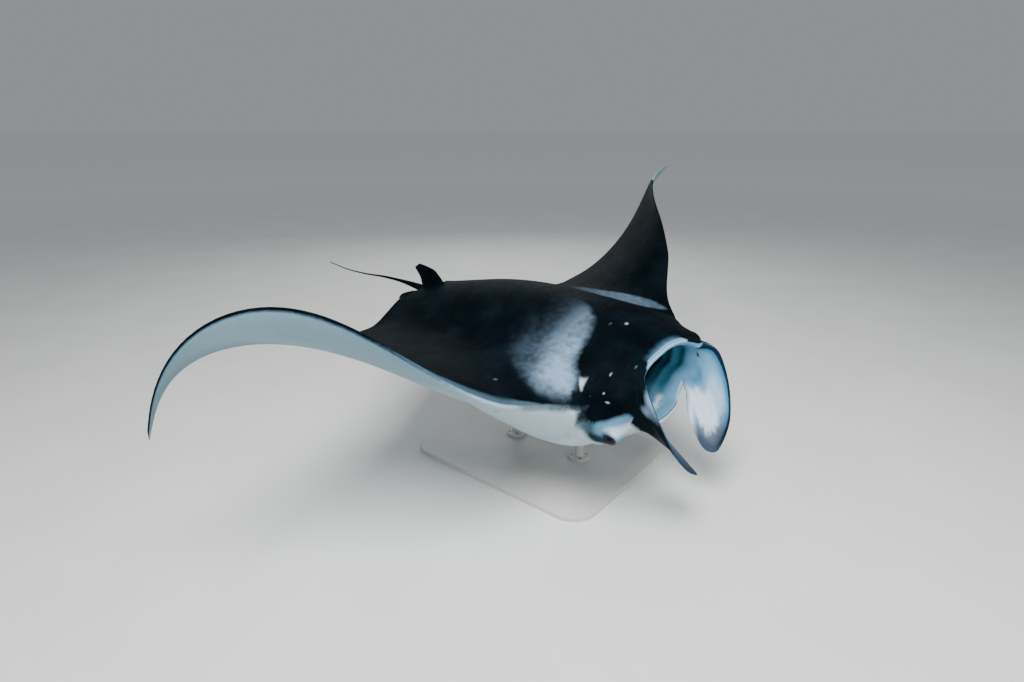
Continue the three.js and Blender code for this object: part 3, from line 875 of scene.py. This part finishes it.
for spot_x, spot_out, spot_z, radius in BELLY_SPOTS:
    blot = spot(either_side, (spot_x, spot_out, spot_z), (radius * 1.5, radius, 0.05))
    colour = tinted(colour, BACK, blot * 0.85)
brink = z.bump_at(-0.016, 0.017) * x.rise(0.24, 0.32) * x.rise(0.42, 0.40) * out.rise(0.52, 0.45)
colour = tinted(colour, PALE, brink * 0.7)

# Above: blue-black. On the right shoulder a pale cloud fades back and inward, on the left only its
# outer rim shows as a thin crescent.
back = tinted(BLACK, BACK, drift.rise(-0.15, 0.3))
patch_front = out.along((0, 0.165), (0.05, 0.235), (0.10, 0.285), (0.15, 0.303), (0.25, 0.322),
                        (0.30, 0.342), (0.33, 0.365), (0.37, 0.378), (0.41, 0.372), (0.50, 0.25))
patch_rear = out.along((0, 0.075), (0.1, 0.075), (0.25, 0.070), (0.35, 0.095), (0.41, 0.150), (0.45, 0.21),
                       (0.48, 0.29))
patch_side = x.along((0, 0.36), (0.10, 0.40), (0.15, 0.430), (0.20, 0.458), (0.25, 0.462), (0.30, 0.446),
                     (0.34, 0.428), (0.38, 0.405))
cloud = (patch_front - x + drift * 0.03 + ripple * 0.014).rise(-0.014, 0.042)
cloud = cloud * (x - patch_rear + drift * 0.12 + ripple * 0.04).rise(-0.06, 0.12)
cloud = cloud * (patch_side - out + drift * 0.03 + ripple * 0.014).rise(-0.018, 0.036)
cloud = cloud * out.along((0, 0.22), (0.08, 0.40), (0.18, 0.60), (0.27, 1.0), (0.36, 0.95), (0.42, 0.50),
                          (0.48, 0.30))
cloud = cloud * x.along((0, 0.16), (0.12, 0.22), (0.19, 0.50), (0.27, 1.0), (0.40, 0.90))
cloud = cloud * y.rise(0.05, -0.04)
crescent_middle = x.along((-0.15, 0.392), (0, 0.362), (0.10, 0.372), (0.22, 0.382), (0.34, 0.404))
crescent_half = x.along((-0.15, 0.012), (0, 0.044), (0.20, 0.042), (0.30, 0.024), (0.35, 0.004))
crescent = (crescent_half - (y - crescent_middle).size() + ripple * 0.01).rise(-0.004, 0.016)
cloud = cloud.greater(crescent * x.rise(-0.20, 0.05) * x.rise(0.35, 0.32) * 0.30)
cloud = cloud * (ripple * 1.1 + drift * 1.6 + fleck * 0.8).rise(-0.50, 0.35, 0.45, 1.0)
back = tinted(back, CLOUD, cloud)
corner_spot = (0.403 - x).lesser(0.085 - z).lesser(z - 0.043).lesser(x + z * 0.77 - 0.4266)
corner_spot = (corner_spot + fleck * 0.010).rise(-0.002, 0.012) * y.rise(-0.20, -0.25) * x.rise(0.36, 0.385)
back = tinted(back, PALE, corner_spot * 0.8)
SPECKS = [(0.468, -0.325, 0.050, 0.0036, 0.0030, 0.36), (0.492, -0.337, 0.029, 0.0070, 0.0026, 0.40),
          (0.457, -0.263, 0.094, 0.0034, 0.0050, 0.32), (0.378, -0.030, 0.172, 0.0056, 0.0060, 0.36),
          (0.335, -0.076, 0.178, 0.0034, 0.0060, 0.06), (0.512, -0.185, 0.107, 0.0030, 0.0060, 0.10),
          (0.130, -0.520, 0.042, 0.0060, 0.0060, 0.10), (0.430, 0.180, 0.150, 0.0030, 0.0060, 0.2)]
jagged = flat.vector_sum("ADD", fleck * 0.006)
for spot_x, spot_y, spot_z, half_long, half_high, strength in SPECKS:
    speck = spot(jagged, (spot_x, spot_y, spot_z), (half_long, 0.009, half_high), 0.7)
    back = tinted(back, PALE, speck * strength)
grains = cells(flat, 60).rise(0.17, 0.07) * cells(flat, 60, "Color").rise(0.80, 0.90)
back = tinted(back, SMOKE, grains * 0.55)

# The edge of the black: over a blue-grey band beside the body, under the front edge further out, and
# ragged throughout. The left wing's underside is bare from the tip to the outer quarter.
black_from = out.along((0.36, 0.001), (0.44, 0.001), (0.50, 0.010), (0.62, 0.032), (0.74, 0.044),
                       (0.86, 0.018), (0.98, 0.002), (1.1, -0.004), (1.22, -0.006), (1.6, -0.007))
black_fade = out.along((0.36, 0.002), (0.50, 0.005), (0.62, 0.020), (0.75, 0.024), (0.86, 0.010),
                       (0.98, 0.004), (1.6, 0.0025))
bare_from = out.along((0.36, -0.002), (0.50, -0.003), (0.63, 0.004), (0.80, 0.000), (0.98, -0.007),
                      (1.22, -0.014), (1.6, -0.015))
left_from = out.along((0.36, -0.016), (1.36, -0.016), (1.45, 0.030), (1.6, 0.030))
black_from = black_from + (left_from - black_from) * left
bare_from = bare_from + (left_from - bare_from) * left
black_fade = black_fade + (0.002 - black_fade) * left
ragged = ripple * 0.010 + fleck * 0.010
black_wing = front - black_from + ragged * black_fade.rise(0, 0.02, 0.4, 1.6)
band_wing = front - bare_from + ragged * out.rise(0.42, 0.60, 0.1, 0.5)
worn_x = x + (ripple + drift) * 0.007
black_head = z - worn_x.along((0.400, -0.070), (0.432, -0.066), (0.455, -0.061), (0.470, -0.050),
                              (0.500, -0.035), (0.530, -0.021), (0.547, -0.022), (0.556, -0.040),
                              (0.568, -0.085), (0.600, -0.140))
black_head = black_head.lesser((worn_x - 0.425).greater(z))
band_head = z - worn_x.along((0.400, -0.112), (0.428, -0.112), (0.445, -0.127), (0.470, -0.139),
                             (0.500, -0.147), (0.560, -0.155))
band_head = band_head.lesser((worn_x - 0.417).greater(z + 0.004))
on_head = x.rise(0.370, 0.415) * out.rise(0.50, 0.42)
uneven = (ripple + drift) * 0.010 + fleck * 0.004
black_line = black_wing + (black_head + uneven - black_wing) * on_head
band_line = band_wing + (band_head + uneven * x.rise(0.41, 0.43) - band_wing) * on_head
fade = black_fade + (0.012 - black_fade) * on_head
colour = tinted(colour, BLUE_GREY, band_line.rise(on_head * -0.010 - 0.004, on_head * 0.010 + 0.006) * 0.95)

# Cheek, between the black band and the belly: blue-grey, brighter below the band, white before the
# eye, with a black smudge behind it.
cheek = (band_head + ripple * 0.01).rise(0, 0.012) * on_head * x.rise(0.425, 0.436)
blue = (x + ripple * 0.01).rise(0.445, 0.480) * z.rise(-0.125, -0.095)
colour = tinted(colour, SKY, cheek * blue * 0.75)
before_the_eye = (x + ripple * 0.01).rise(0.486, 0.520) * z.bump_at(-0.070, 0.026)
colour = tinted(colour, PALE, cheek * before_the_eye * 0.95)
colour = tinted(colour, BELLY, cheek * x.rise(0.530, 0.550) * z.rise(-0.070, -0.090))
smudge = spot(either_side, (0.464, 0.350, -0.118), (0.030, 0.07, 0.020), 0.55)
colour = tinted(colour, BACK, smudge * 0.8)
round_the_eye = spot(either_side, (0.513, 0.345, -0.108), (0.022, 0.07, 0.031), 0.35)
colour = tinted(colour, BACK, round_the_eye * 0.92)
chin = (v - along * 0.3 + ripple * 0.04).rise(0.44, 0.53) * x.rise(0.524, 0.550)
colour = tinted(colour, back, black_line.rise(fade * -1, fade) * (1 - chin))

# Lips and cephalic fins, outside: a light rim with a blue glow behind it, a pale streak down the
# corner of the mouth, a black root and a dark blade.
to_rim = along - v.along((0, 1.74), (0.20, 1.78), (0.33, 1.92), (0.43, 2.50), (2, 2.60)) + ripple * 0.12
halo = to_rim.rise(0, 0.60) * (v + ripple * 0.03).rise(0.46, 0.37) * (1 - left * 0.25)
colour = tinted(colour, SKY, halo)
rim = (along + ripple * 0.1).rise(2.74, 2.94) * (along - 3.1).rise(0.12, -0.05) * v.rise(0.46, 0.36)
colour = tinted(colour, PALE, rim * 0.75)
blade_foot = along.along((2.0, 1.07), (2.2, 1.13), (2.4, 1.42), (3.0, 1.45))
blade = on_lip * v.rise(0.44, 0.50) * (blade_foot - v).rise(-0.02, 0.03)
colour = tinted(colour, BACK, blade * v.rise(1.35, 1.05, 0.3, 1.0))
colour = tinted(colour, SMOKE, blade * v.rise(0.90, 1.0) * along.rise(2.25, 2.5) * 0.9)
streak = v - along.along((2.1, 0.935), (2.2, 0.90), (2.4, 0.838), (2.6, 0.808), (2.8, 0.790), (3.0, 0.775))
streak = (streak + ripple * 0.02).bump_at(0, 0.050) * (along + ripple * 0.3).rise(2.10, 2.30)
colour = tinted(colour, CLOUD, streak * along.rise(3.02, 3.0) * 0.85)

# Inside of the fins: a white blade with fine lengthwise streaks, blue over the root and along the
# upper side, a black edge and a grey tip; the right fin's inside is darkened with painted shade.
streaks = noise(stretched(attribute(tree, "place"), (90, 3, 1)), 1, 2)
fin_inside = inside * along.rise(4.0, 3.98)
colour = tinted(colour, SKY, fin_inside)
blade_length = v.along((0.72, 0.014), (0.776, 0.07), (0.832, 0.14), (0.888, 0.21), (0.944, 0.27),
                       (1.0, 0.33), (1.06, 0.32), (1.15, 0.20), (1.24, 0.10), (1.3, 0.014))
from_edge = (along - 3) * blade_length      # in metres
white = (3.78 - (v - 1.07).size() * 1.3 - along + ripple * 0.15).rise(-0.06, 0.10)
white = white * v.rise(0.955, 0.99) * v.rise(1.24, 1.17)
mauve = v.rise(0.86, 0.96) * along.rise(3.75, 3.60) * 0.45
colour = tinted(colour, PALE, fin_inside * white.greater(mauve) * streaks.rise(-0.45, 0.10, 0.60, 1.0))
arch = along.bump_at(3.85, 0.11) * (v + ripple * 0.05).bump_at(1.05, 0.20)
colour = tinted(colour, BLUE, fin_inside * arch * 0.65)
outer_side = v.rise(0.70, 0.73) * v.rise(1.03, 0.96)
margin = v.along((0.70, 0.026), (0.78, 0.030), (0.86, 0.026), (0.93, 0.023), (1.03, 0.017))
glow = (from_edge - margin + streaks * 0.02 + ripple * 0.02).rise(0.065, 0.004)
colour = tinted(colour, BLUE, fin_inside * outer_side * glow * 0.85)
tip = (from_edge + streaks * 0.05 + ripple * 0.04).rise(0.105, 0.050)
tip = tip * v.rise(0.93, 0.99) * v.rise(1.17, 1.09)
colour = tinted(colour, SMOKE, fin_inside * tip * 0.92)
colour = tinted(colour, NAVY, fin_inside * tip * (from_edge + ripple * 0.03).rise(0.055, 0.020) * 0.7)
black_margin = outer_side * (margin - from_edge + ripple * 0.008).rise(-0.005, 0.004)
colour = tinted(colour, BACK, fin_inside * black_margin * 0.92)
# The right fin's inside darkened to navy, on that side only: painted shade.
near_fin_painted_shade = inside * v.rise(0.71, 0.76) * v.rise(1.25, 1.18) * y.rise(-0.02, -0.06)
colour = tinted(colour, NAVY, near_fin_painted_shade * along.rise(3.98, 3.85) * 0.88)

# Mouth: blue walls darkened inwards in soft bands with painted shade, deepest in the throat, in the gill
# slits and under the roof; a white floor behind a dark lower lip with a painted shadow inside it, and a
# light line along the lip's edge.
in_mouth = along.rise(3.97, 4.0)
colour = tinted(colour, SKY, in_mouth)
hollow = depth + drift * 0.12 + ripple * 0.03
# Teal deepening from the rim inwards: painted shade.
colour = tinted(colour, TEAL, in_mouth * hollow.rise(0.01, 0.17) * v.rise(1.75, 1.45, 0.4, 0.95))
colour = tinted(colour, SKY, in_mouth * hollow.bump_at(0.225, 0.055) * 0.22)
# Darker at each gill slit in the walls: painted shade in their hollows.
for at in ARCHES:
    colour = tinted(colour, DEEP, in_mouth * hollow.bump_at(at, 0.060) * 0.20)
# Near black deep in the throat: painted shade.
colour = tinted(colour, DEEP, in_mouth * hollow.rise(0.22, 0.37) * 0.97)
# Dark under the roof, just inside the upper lip: painted shade.
colour = tinted(colour, DEEP, in_mouth * v.rise(0.60, 0.30) * hollow.rise(-0.02, 0.05) * 0.8)
floor_white = (v + ripple * 0.08).rise(1.68, 1.82) * (hollow + ripple * 0.06).bump_at(0.135, 0.065)
colour = tinted(colour, PALE, in_mouth * floor_white * 0.85)
lip_shadow = (along + ripple * 0.1).rise(3.15, 3.25) * (along + ripple * 0.03).rise(4.09, 4.05)
colour = tinted(colour, BLUE_GREY, v.rise(1.66, 1.82) * lip_shadow * 0.3)
lip_line = v.rise(1.66, 1.80) * (along + ripple * 0.2 - 3.36).bump_at(0, 0.26)
colour = tinted(colour, BACK, lip_line * 0.85)
lower_edge = v.rise(1.50, 1.65) * (along - 3.02).size().rise(0.12, 0.05)
colour = tinted(colour, PALE, lower_edge * 0.7)
nostril = ((v - 0.905).size() * 30).sum("POWER", 2) + ((along - 3.97).size() * 32).sum("POWER", 2)
colour = tinted(colour, DEEP, nostril.rise(1.2, 0.5) * 0.8)
feed(tree, shader.inputs["Base Color"], colour)

# Wet leather: fine grain, faint rays along the wings, slack folds at their roots.
grain = noise(flat, 700, 2) * 0.0005
pebbles = cells(flat, 260) * 0.00035
rays = noise(stretched(flat, (34, 3.2, 34)), 1, 2) * 0.0022
folds = noise(stretched(flat, (14, 50, 50)), 1) * 0.0016 * out.bump_at(0.40, 0.16)
lengthwise_streaks = streaks * 0.0012 * along.rise(2.0, 2.1)
raised(tree, shader, grain + pebbles + rays + folds + lengthwise_streaks)
feed(tree, shader.inputs["Roughness"], (fleck * 0.25 + ripple * 0.15 + 0.46).rise(0.30, 0.62, 0.38, 0.64))
skin.data.materials.clear()
skin.data.materials.append(skin_finish)

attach(skin, "root")
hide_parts("wing_left", "wing_right", "cephalic_fin_left", "cephalic_fin_right", "head",
            "trunk", "dorsal_fin", "tail", "pelvic_fin_left", "pelvic_fin_right")

# ---- Eyes ----
# Glass eyes: a ball with a clear bulge over the pupil, held by the fold of skin. A manta's eye is almost
# black, with a dull gold fleck in the iris and a pupil that is wider than it is high.
IRIS, PUPIL_LONG, PUPIL_HIGH = 0.235, 0.105, 0.050      # shares of the way from the eye's front to its back
CORNEA_LIFT, CORNEA_REACH = 0.0016, 0.014

eye_finish, tree, shader = finish("eye_glass", coat_weight=0.12, coat_roughness=0.05,
                                  specular_ior_level=0.12)
pattern = tree.nodes.new("ShaderNodeUVMap")
turn, height, _ = parts_of(Field(tree, pattern.outputs[0]))
from_front = 1 - height
angle = turn * (2 * math.pi)
sideways, upward = from_front * angle.sum("COSINE"), from_front * angle.sum("SINE")
ellipse = (sideways * (1 / PUPIL_LONG)).sum("POWER", 2) + (upward * (1 / PUPIL_HIGH)).sum("POWER", 2)
pupil = ellipse.rise(1.15, 0.85)
threads = noise(place_of(angle.sum("COSINE") * 9, angle.sum("SINE") * 9, from_front * 14), 1)
iris = from_front.rise(IRIS + 0.02, IRIS - 0.02)
colour = tinted((0.006, 0.009, 0.012), (0.004, 0.0038, 0.0035), iris)
flecks = iris * threads.rise(0.0, 0.30) * from_front.rise(0.05, 0.13)
colour = tinted(colour, (0.016, 0.015, 0.012), flecks * 0.6)
colour = tinted(colour, (0.030, 0.045, 0.060), from_front.bump_at(IRIS + 0.015, 0.022) * 0.35)
colour = tinted(colour, (0.001, 0.001, 0.0012), pupil)
feed(tree, shader.inputs["Base Color"], colour)
raised(tree, shader, threads * 0.0003 * iris)
feed(tree, shader.inputs["Roughness"], threads.rise(-0.3, 0.3, 0.14, 0.30))

for hand, side in ((1, "left"), (-1, "right")):
    low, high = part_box("eye_" + side)
    centre = (Vector(low) + Vector(high)) / 2
    looking = (bent(hand, EYE + EYE_AXIS * 0.01) - bent(hand, EYE)).normalized()
    bpy.ops.mesh.primitive_uv_sphere_add(segments=64, ring_count=40, radius=EYE_RADIUS, location=centre,
                                         rotation=looking.to_track_quat("Z", "Y").to_euler())
    eye = newly_made("glass_eye_" + side)
    for vertex in eye.data.vertices:
        offset = vertex.co - centre
        reach = (offset - looking * offset.dot(looking)).length
        if offset.dot(looking) > 0:
            vertex.co += looking * CORNEA_LIFT * smooth(CORNEA_REACH, 0.3 * CORNEA_REACH, reach)
    bpy.ops.object.shade_smooth()
    eye.data.materials.append(eye_finish)
    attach(eye, "root")
    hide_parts("eye_" + side)
    bpy.ops.object.select_all(action="DESELECT")

# ---- Stand ----
# A plain steel plate with round corners, and two steel tubes screwed to it by flanges. Each tube ends in
# a socket in the belly, where a rubber ring closes the gap. All of it is painted, apart from the screws.
BASE_CORNER, BASE_EDGE = 0.110, 0.003
ROD_RADIUS, FLANGE_RADIUS, FLANGE_HEIGHT = 0.019, 0.048, 0.012
FLANGE_EDGE, SCREW_EDGE = 0.0015, 0.0008                # widths of the rounded edges
WELD, WELD_WAIST, WELD_HEIGHT = 0.005, 0.0035, 0.0055   # at a rod's foot: out, height of its hollow, height
SCREW_RADIUS, SCREW_HEIGHT, SCREW_CIRCLE = 0.0055, 0.005, 0.034
SOCKET_RADIUS, SOCKET_DEPTH = 0.0030, 0.0024            # the hexagonal hole in a screw's head
RING_RADIUS, RING_THICKNESS = 0.0225, 0.0055
ROD_IN_BODY = 0.110
CREASE = math.radians(35)                               # steeper edges than this stay sharp


def shape_edges(chosen, width, segments):
    """Bevels the edges of the object in edit mode that chosen picks."""
    bpy.ops.mesh.select_mode(type="EDGE")
    bpy.ops.mesh.select_all(action="DESELECT")
    shaped = bmesh.from_edit_mesh(bpy.context.object.data)
    for edge in shaped.edges:
        edge.select_set(chosen(*(vertex.co for vertex in edge.verts)))
    bmesh.update_edit_mesh(bpy.context.object.data)
    bpy.ops.mesh.bevel(offset=width, segments=segments, profile=0.5)


paint, tree, shader = finish("stand_paint", specular_ior_level=0.35)
where = object_place(tree)
worn = noise(where, 3, 4)
colour = tinted((0.60, 0.59, 0.56), (0.50, 0.49, 0.465), worn.rise(-0.1, 0.25))
colour = tinted(colour, (0.68, 0.67, 0.65), noise(where, 300, 1).rise(0.12, 0.22) * 0.5)
feed(tree, shader.inputs["Base Color"], colour)
feed(tree, shader.inputs["Roughness"], noise(where, 25).rise(-0.3, 0.3, 0.38, 0.52))
raised(tree, shader, noise(where, 420, 2) * 0.0004 + noise(where, 60, 2) * 0.00024)

rubber, tree, shader = finish("ring_rubber", specular_ior_level=0.3)
where = object_place(tree)
colour = tinted((0.012, 0.012, 0.013), (0.03, 0.03, 0.03), noise(where, 200).rise(0, 0.3))
feed(tree, shader.inputs["Base Color"], colour)
feed(tree, shader.inputs["Roughness"], noise(where, 150, 2).rise(-0.3, 0.3, 0.6, 0.85))
raised(tree, shader, noise(where, 500, 2) * 0.0003)

screw_steel, tree, shader = finish("screw_steel", metallic=1.0)
where = object_place(tree)
turned = noise(stretched(where, (1, 1, 8)), 300, 2)
colour = tinted((0.52, 0.52, 0.53), (0.36, 0.36, 0.37), turned.rise(-0.2, 0.2))
feed(tree, shader.inputs["Base Color"], colour)
feed(tree, shader.inputs["Roughness"], turned.rise(-0.3, 0.3, 0.22, 0.40))
raised(tree, shader, turned * 0.0001)

low, high = (Vector(corner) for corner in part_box("stand_base"))
bpy.ops.mesh.primitive_cube_add(size=1, location=(low + high) / 2, scale=high - low)
plate = newly_made("base_plate")
bpy.ops.object.mode_set(mode="EDIT")
shape_edges(lambda one, two: abs(one.z - two.z) > 0.01, BASE_CORNER, 16)
shape_edges(lambda one, two: min(one.z, two.z) > high.z - 1e-5, BASE_EDGE, 4)
bpy.ops.object.mode_set(mode="OBJECT")
bpy.ops.object.shade_smooth_by_angle(angle=CREASE)
plate.data.materials.append(paint)
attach(plate, "root")
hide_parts("stand_base")

for name in ("front", "rear"):
    bpy.ops.object.select_all(action="DESELECT")
    low, high = (Vector(corner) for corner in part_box("stand_rod_" + name))
    axis = (low + high) / 2
    bpy.ops.mesh.primitive_cylinder_add(vertices=64, radius=FLANGE_RADIUS, depth=FLANGE_HEIGHT,
                                        location=(axis.x, axis.y, low.z + FLANGE_HEIGHT / 2))
    rod = newly_made("rod_" + name)
    bpy.ops.object.mode_set(mode="EDIT")
    bpy.ops.mesh.select_mode(type="FACE")
    bpy.ops.mesh.select_all(action="DESELECT")
    shaped = bmesh.from_edit_mesh(rod.data)
    shaped.faces.ensure_lookup_table()
    max(shaped.faces, key=lambda face: face.calc_center_median().z).select_set(True)
    bmesh.update_edit_mesh(rod.data)
    weld = ROD_RADIUS + WELD
    for radius, rise in ((weld, 0), (ROD_RADIUS + 0.3 * WELD, WELD_WAIST),
                         (ROD_RADIUS, WELD_HEIGHT - WELD_WAIST),
                         (ROD_RADIUS, high.z - low.z - FLANGE_HEIGHT - WELD_HEIGHT)):
        if rise == 0:
            bpy.ops.mesh.inset(thickness=FLANGE_RADIUS - weld)
        else:
            bpy.ops.mesh.extrude_region_move(TRANSFORM_OT_translate=dict(value=(0, 0, rise)))
            bpy.ops.transform.resize(value=(radius / reached, radius / reached, 1), center_override=axis)
        reached = radius
    shape_edges(lambda one, two: abs(one.z - two.z) < 1e-6 and one.z > low.z + FLANGE_HEIGHT - 1e-4
                and min((one - axis).xy.length, (two - axis).xy.length) > FLANGE_RADIUS - 1e-4,
                FLANGE_EDGE, 3)
    bpy.ops.object.mode_set(mode="OBJECT")
    bpy.ops.object.shade_smooth_by_angle(angle=CREASE)
    rod.data.materials.append(paint)
    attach(rod, "root")
    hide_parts("stand_rod_" + name)

    for turn in range(4):
        angle = math.radians(45 + 90 * turn)
        place = axis.xy + Vector((math.cos(angle), math.sin(angle))) * SCREW_CIRCLE
        bpy.ops.object.select_all(action="DESELECT")
        bpy.ops.mesh.primitive_cylinder_add(
            vertices=32, radius=SCREW_RADIUS, depth=SCREW_HEIGHT,
            location=(*place, low.z + FLANGE_HEIGHT + SCREW_HEIGHT / 2))
        screw = newly_made(f"screw_{name}_{turn + 1}")
        top = max(vertex.co.z for vertex in screw.data.vertices)
        bpy.ops.object.mode_set(mode="EDIT")
        shape_edges(lambda one, two: min(one.z, two.z) > top - 1e-6, SCREW_EDGE, 2)
        bpy.ops.object.mode_set(mode="OBJECT")
        bpy.ops.mesh.primitive_cylinder_add(vertices=6, radius=SOCKET_RADIUS, depth=0.006,
                                            location=(*place, top + 0.003 - SOCKET_DEPTH))
        key = bpy.context.object
        socket = screw.modifiers.new("socket", "BOOLEAN")
        socket.operation, socket.solver, socket.object = "DIFFERENCE", "EXACT", key
        bpy.context.view_layer.objects.active = screw
        bpy.ops.object.modifier_apply(modifier=socket.name)
        bpy.data.objects.remove(key)
        bpy.ops.object.select_all(action="DESELECT")
        screw.select_set(True)
        bpy.ops.object.shade_smooth_by_angle(angle=CREASE)
        screw.data.materials.append(screw_steel)
        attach(screw, "root")

    bpy.ops.object.select_all(action="DESELECT")
    slope = TILT @ Vector((0, 0, 1))
    bpy.ops.mesh.primitive_torus_add(major_segments=64, minor_segments=16, major_radius=RING_RADIUS,
                                     minor_radius=RING_THICKNESS,
                                     location=(axis.x, axis.y, high.z - ROD_IN_BODY),
                                     rotation=slope.to_track_quat("Z", "Y").to_euler())
    ring = newly_made("rubber_ring_" + name)
    bpy.ops.object.shade_smooth()
    ring.data.materials.append(rubber)
    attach(ring, "root")
bpy.ops.object.select_all(action="DESELECT")

# ---- Camera ----
# The whole ray is seen from its right, from ahead and above, through a wide lens about two metres
# from the head.
view = bpy.data.cameras.new("view")
view.lens = 21.09
view.sensor_width = 36
camera = bpy.data.objects.new("view", view)
camera.location = (1.4693, -1.9759, 1.4309)
camera.rotation_euler = (math.radians(70.0), 0, math.radians(39.74))
bpy.context.scene.collection.objects.link(camera)
bpy.context.scene.camera = camera

# ---- Light and floor ----
# A smooth painted floor that grows lighter far off, to meet the light of the room, and three large
# soft lamps: the strongest high over the right wing, one ahead and one behind.
bpy.ops.mesh.primitive_circle_add(vertices=128, radius=120, fill_type="NGON", location=(0, 0, 0))
floor = bpy.context.object
floor.name = "floor"
floor_finish, tree, shader = finish("floor_paint", specular_ior_level=0.2)
where = object_place(tree)
colour = tinted((0.74, 0.74, 0.73), (0.70, 0.70, 0.69), noise(where, 2, 4).rise(-0.2, 0.2))
metres_out = stretched(where, (1, 1, 0)).vector_sum("LENGTH")
feed(tree, shader.inputs["Base Color"], tinted(colour, (0.95, 0.96, 0.97), metres_out.rise(4, 16)))
feed(tree, shader.inputs["Roughness"], noise(where, 40).rise(-0.3, 0.3, 0.62, 0.78))
raised(tree, shader, noise(where, 150) * 0.0003)
floor.data.materials.append(floor_finish)


def soft_light(name, power, size, place, aim):
    bpy.ops.object.light_add(type="AREA", location=place)
    light = bpy.context.object
    light.name = name
    light.data.energy = power
    light.data.size = size
    light.rotation_euler = (Vector(aim) - Vector(place)).to_track_quat("-Z", "Y").to_euler()
    return light


soft_light("key", 330, 2.5, (1.2, -1.8, 4.0), (0, 0, 0.5))
soft_light("fill", 60, 3.0, (4.0, -0.5, 1.8), (0.3, 0, 0.5))
soft_light("rim", 60, 3.0, (-3.0, 3.0, 3.0), (0, 0, 0.5))
world = bpy.data.worlds.new("room")
bpy.context.scene.world = world
world.use_nodes = True
world.node_tree.nodes["Background"].inputs["Color"].default_value = (0.72, 0.76, 0.80, 1)
world.node_tree.nodes["Background"].inputs["Strength"].default_value = 0.40
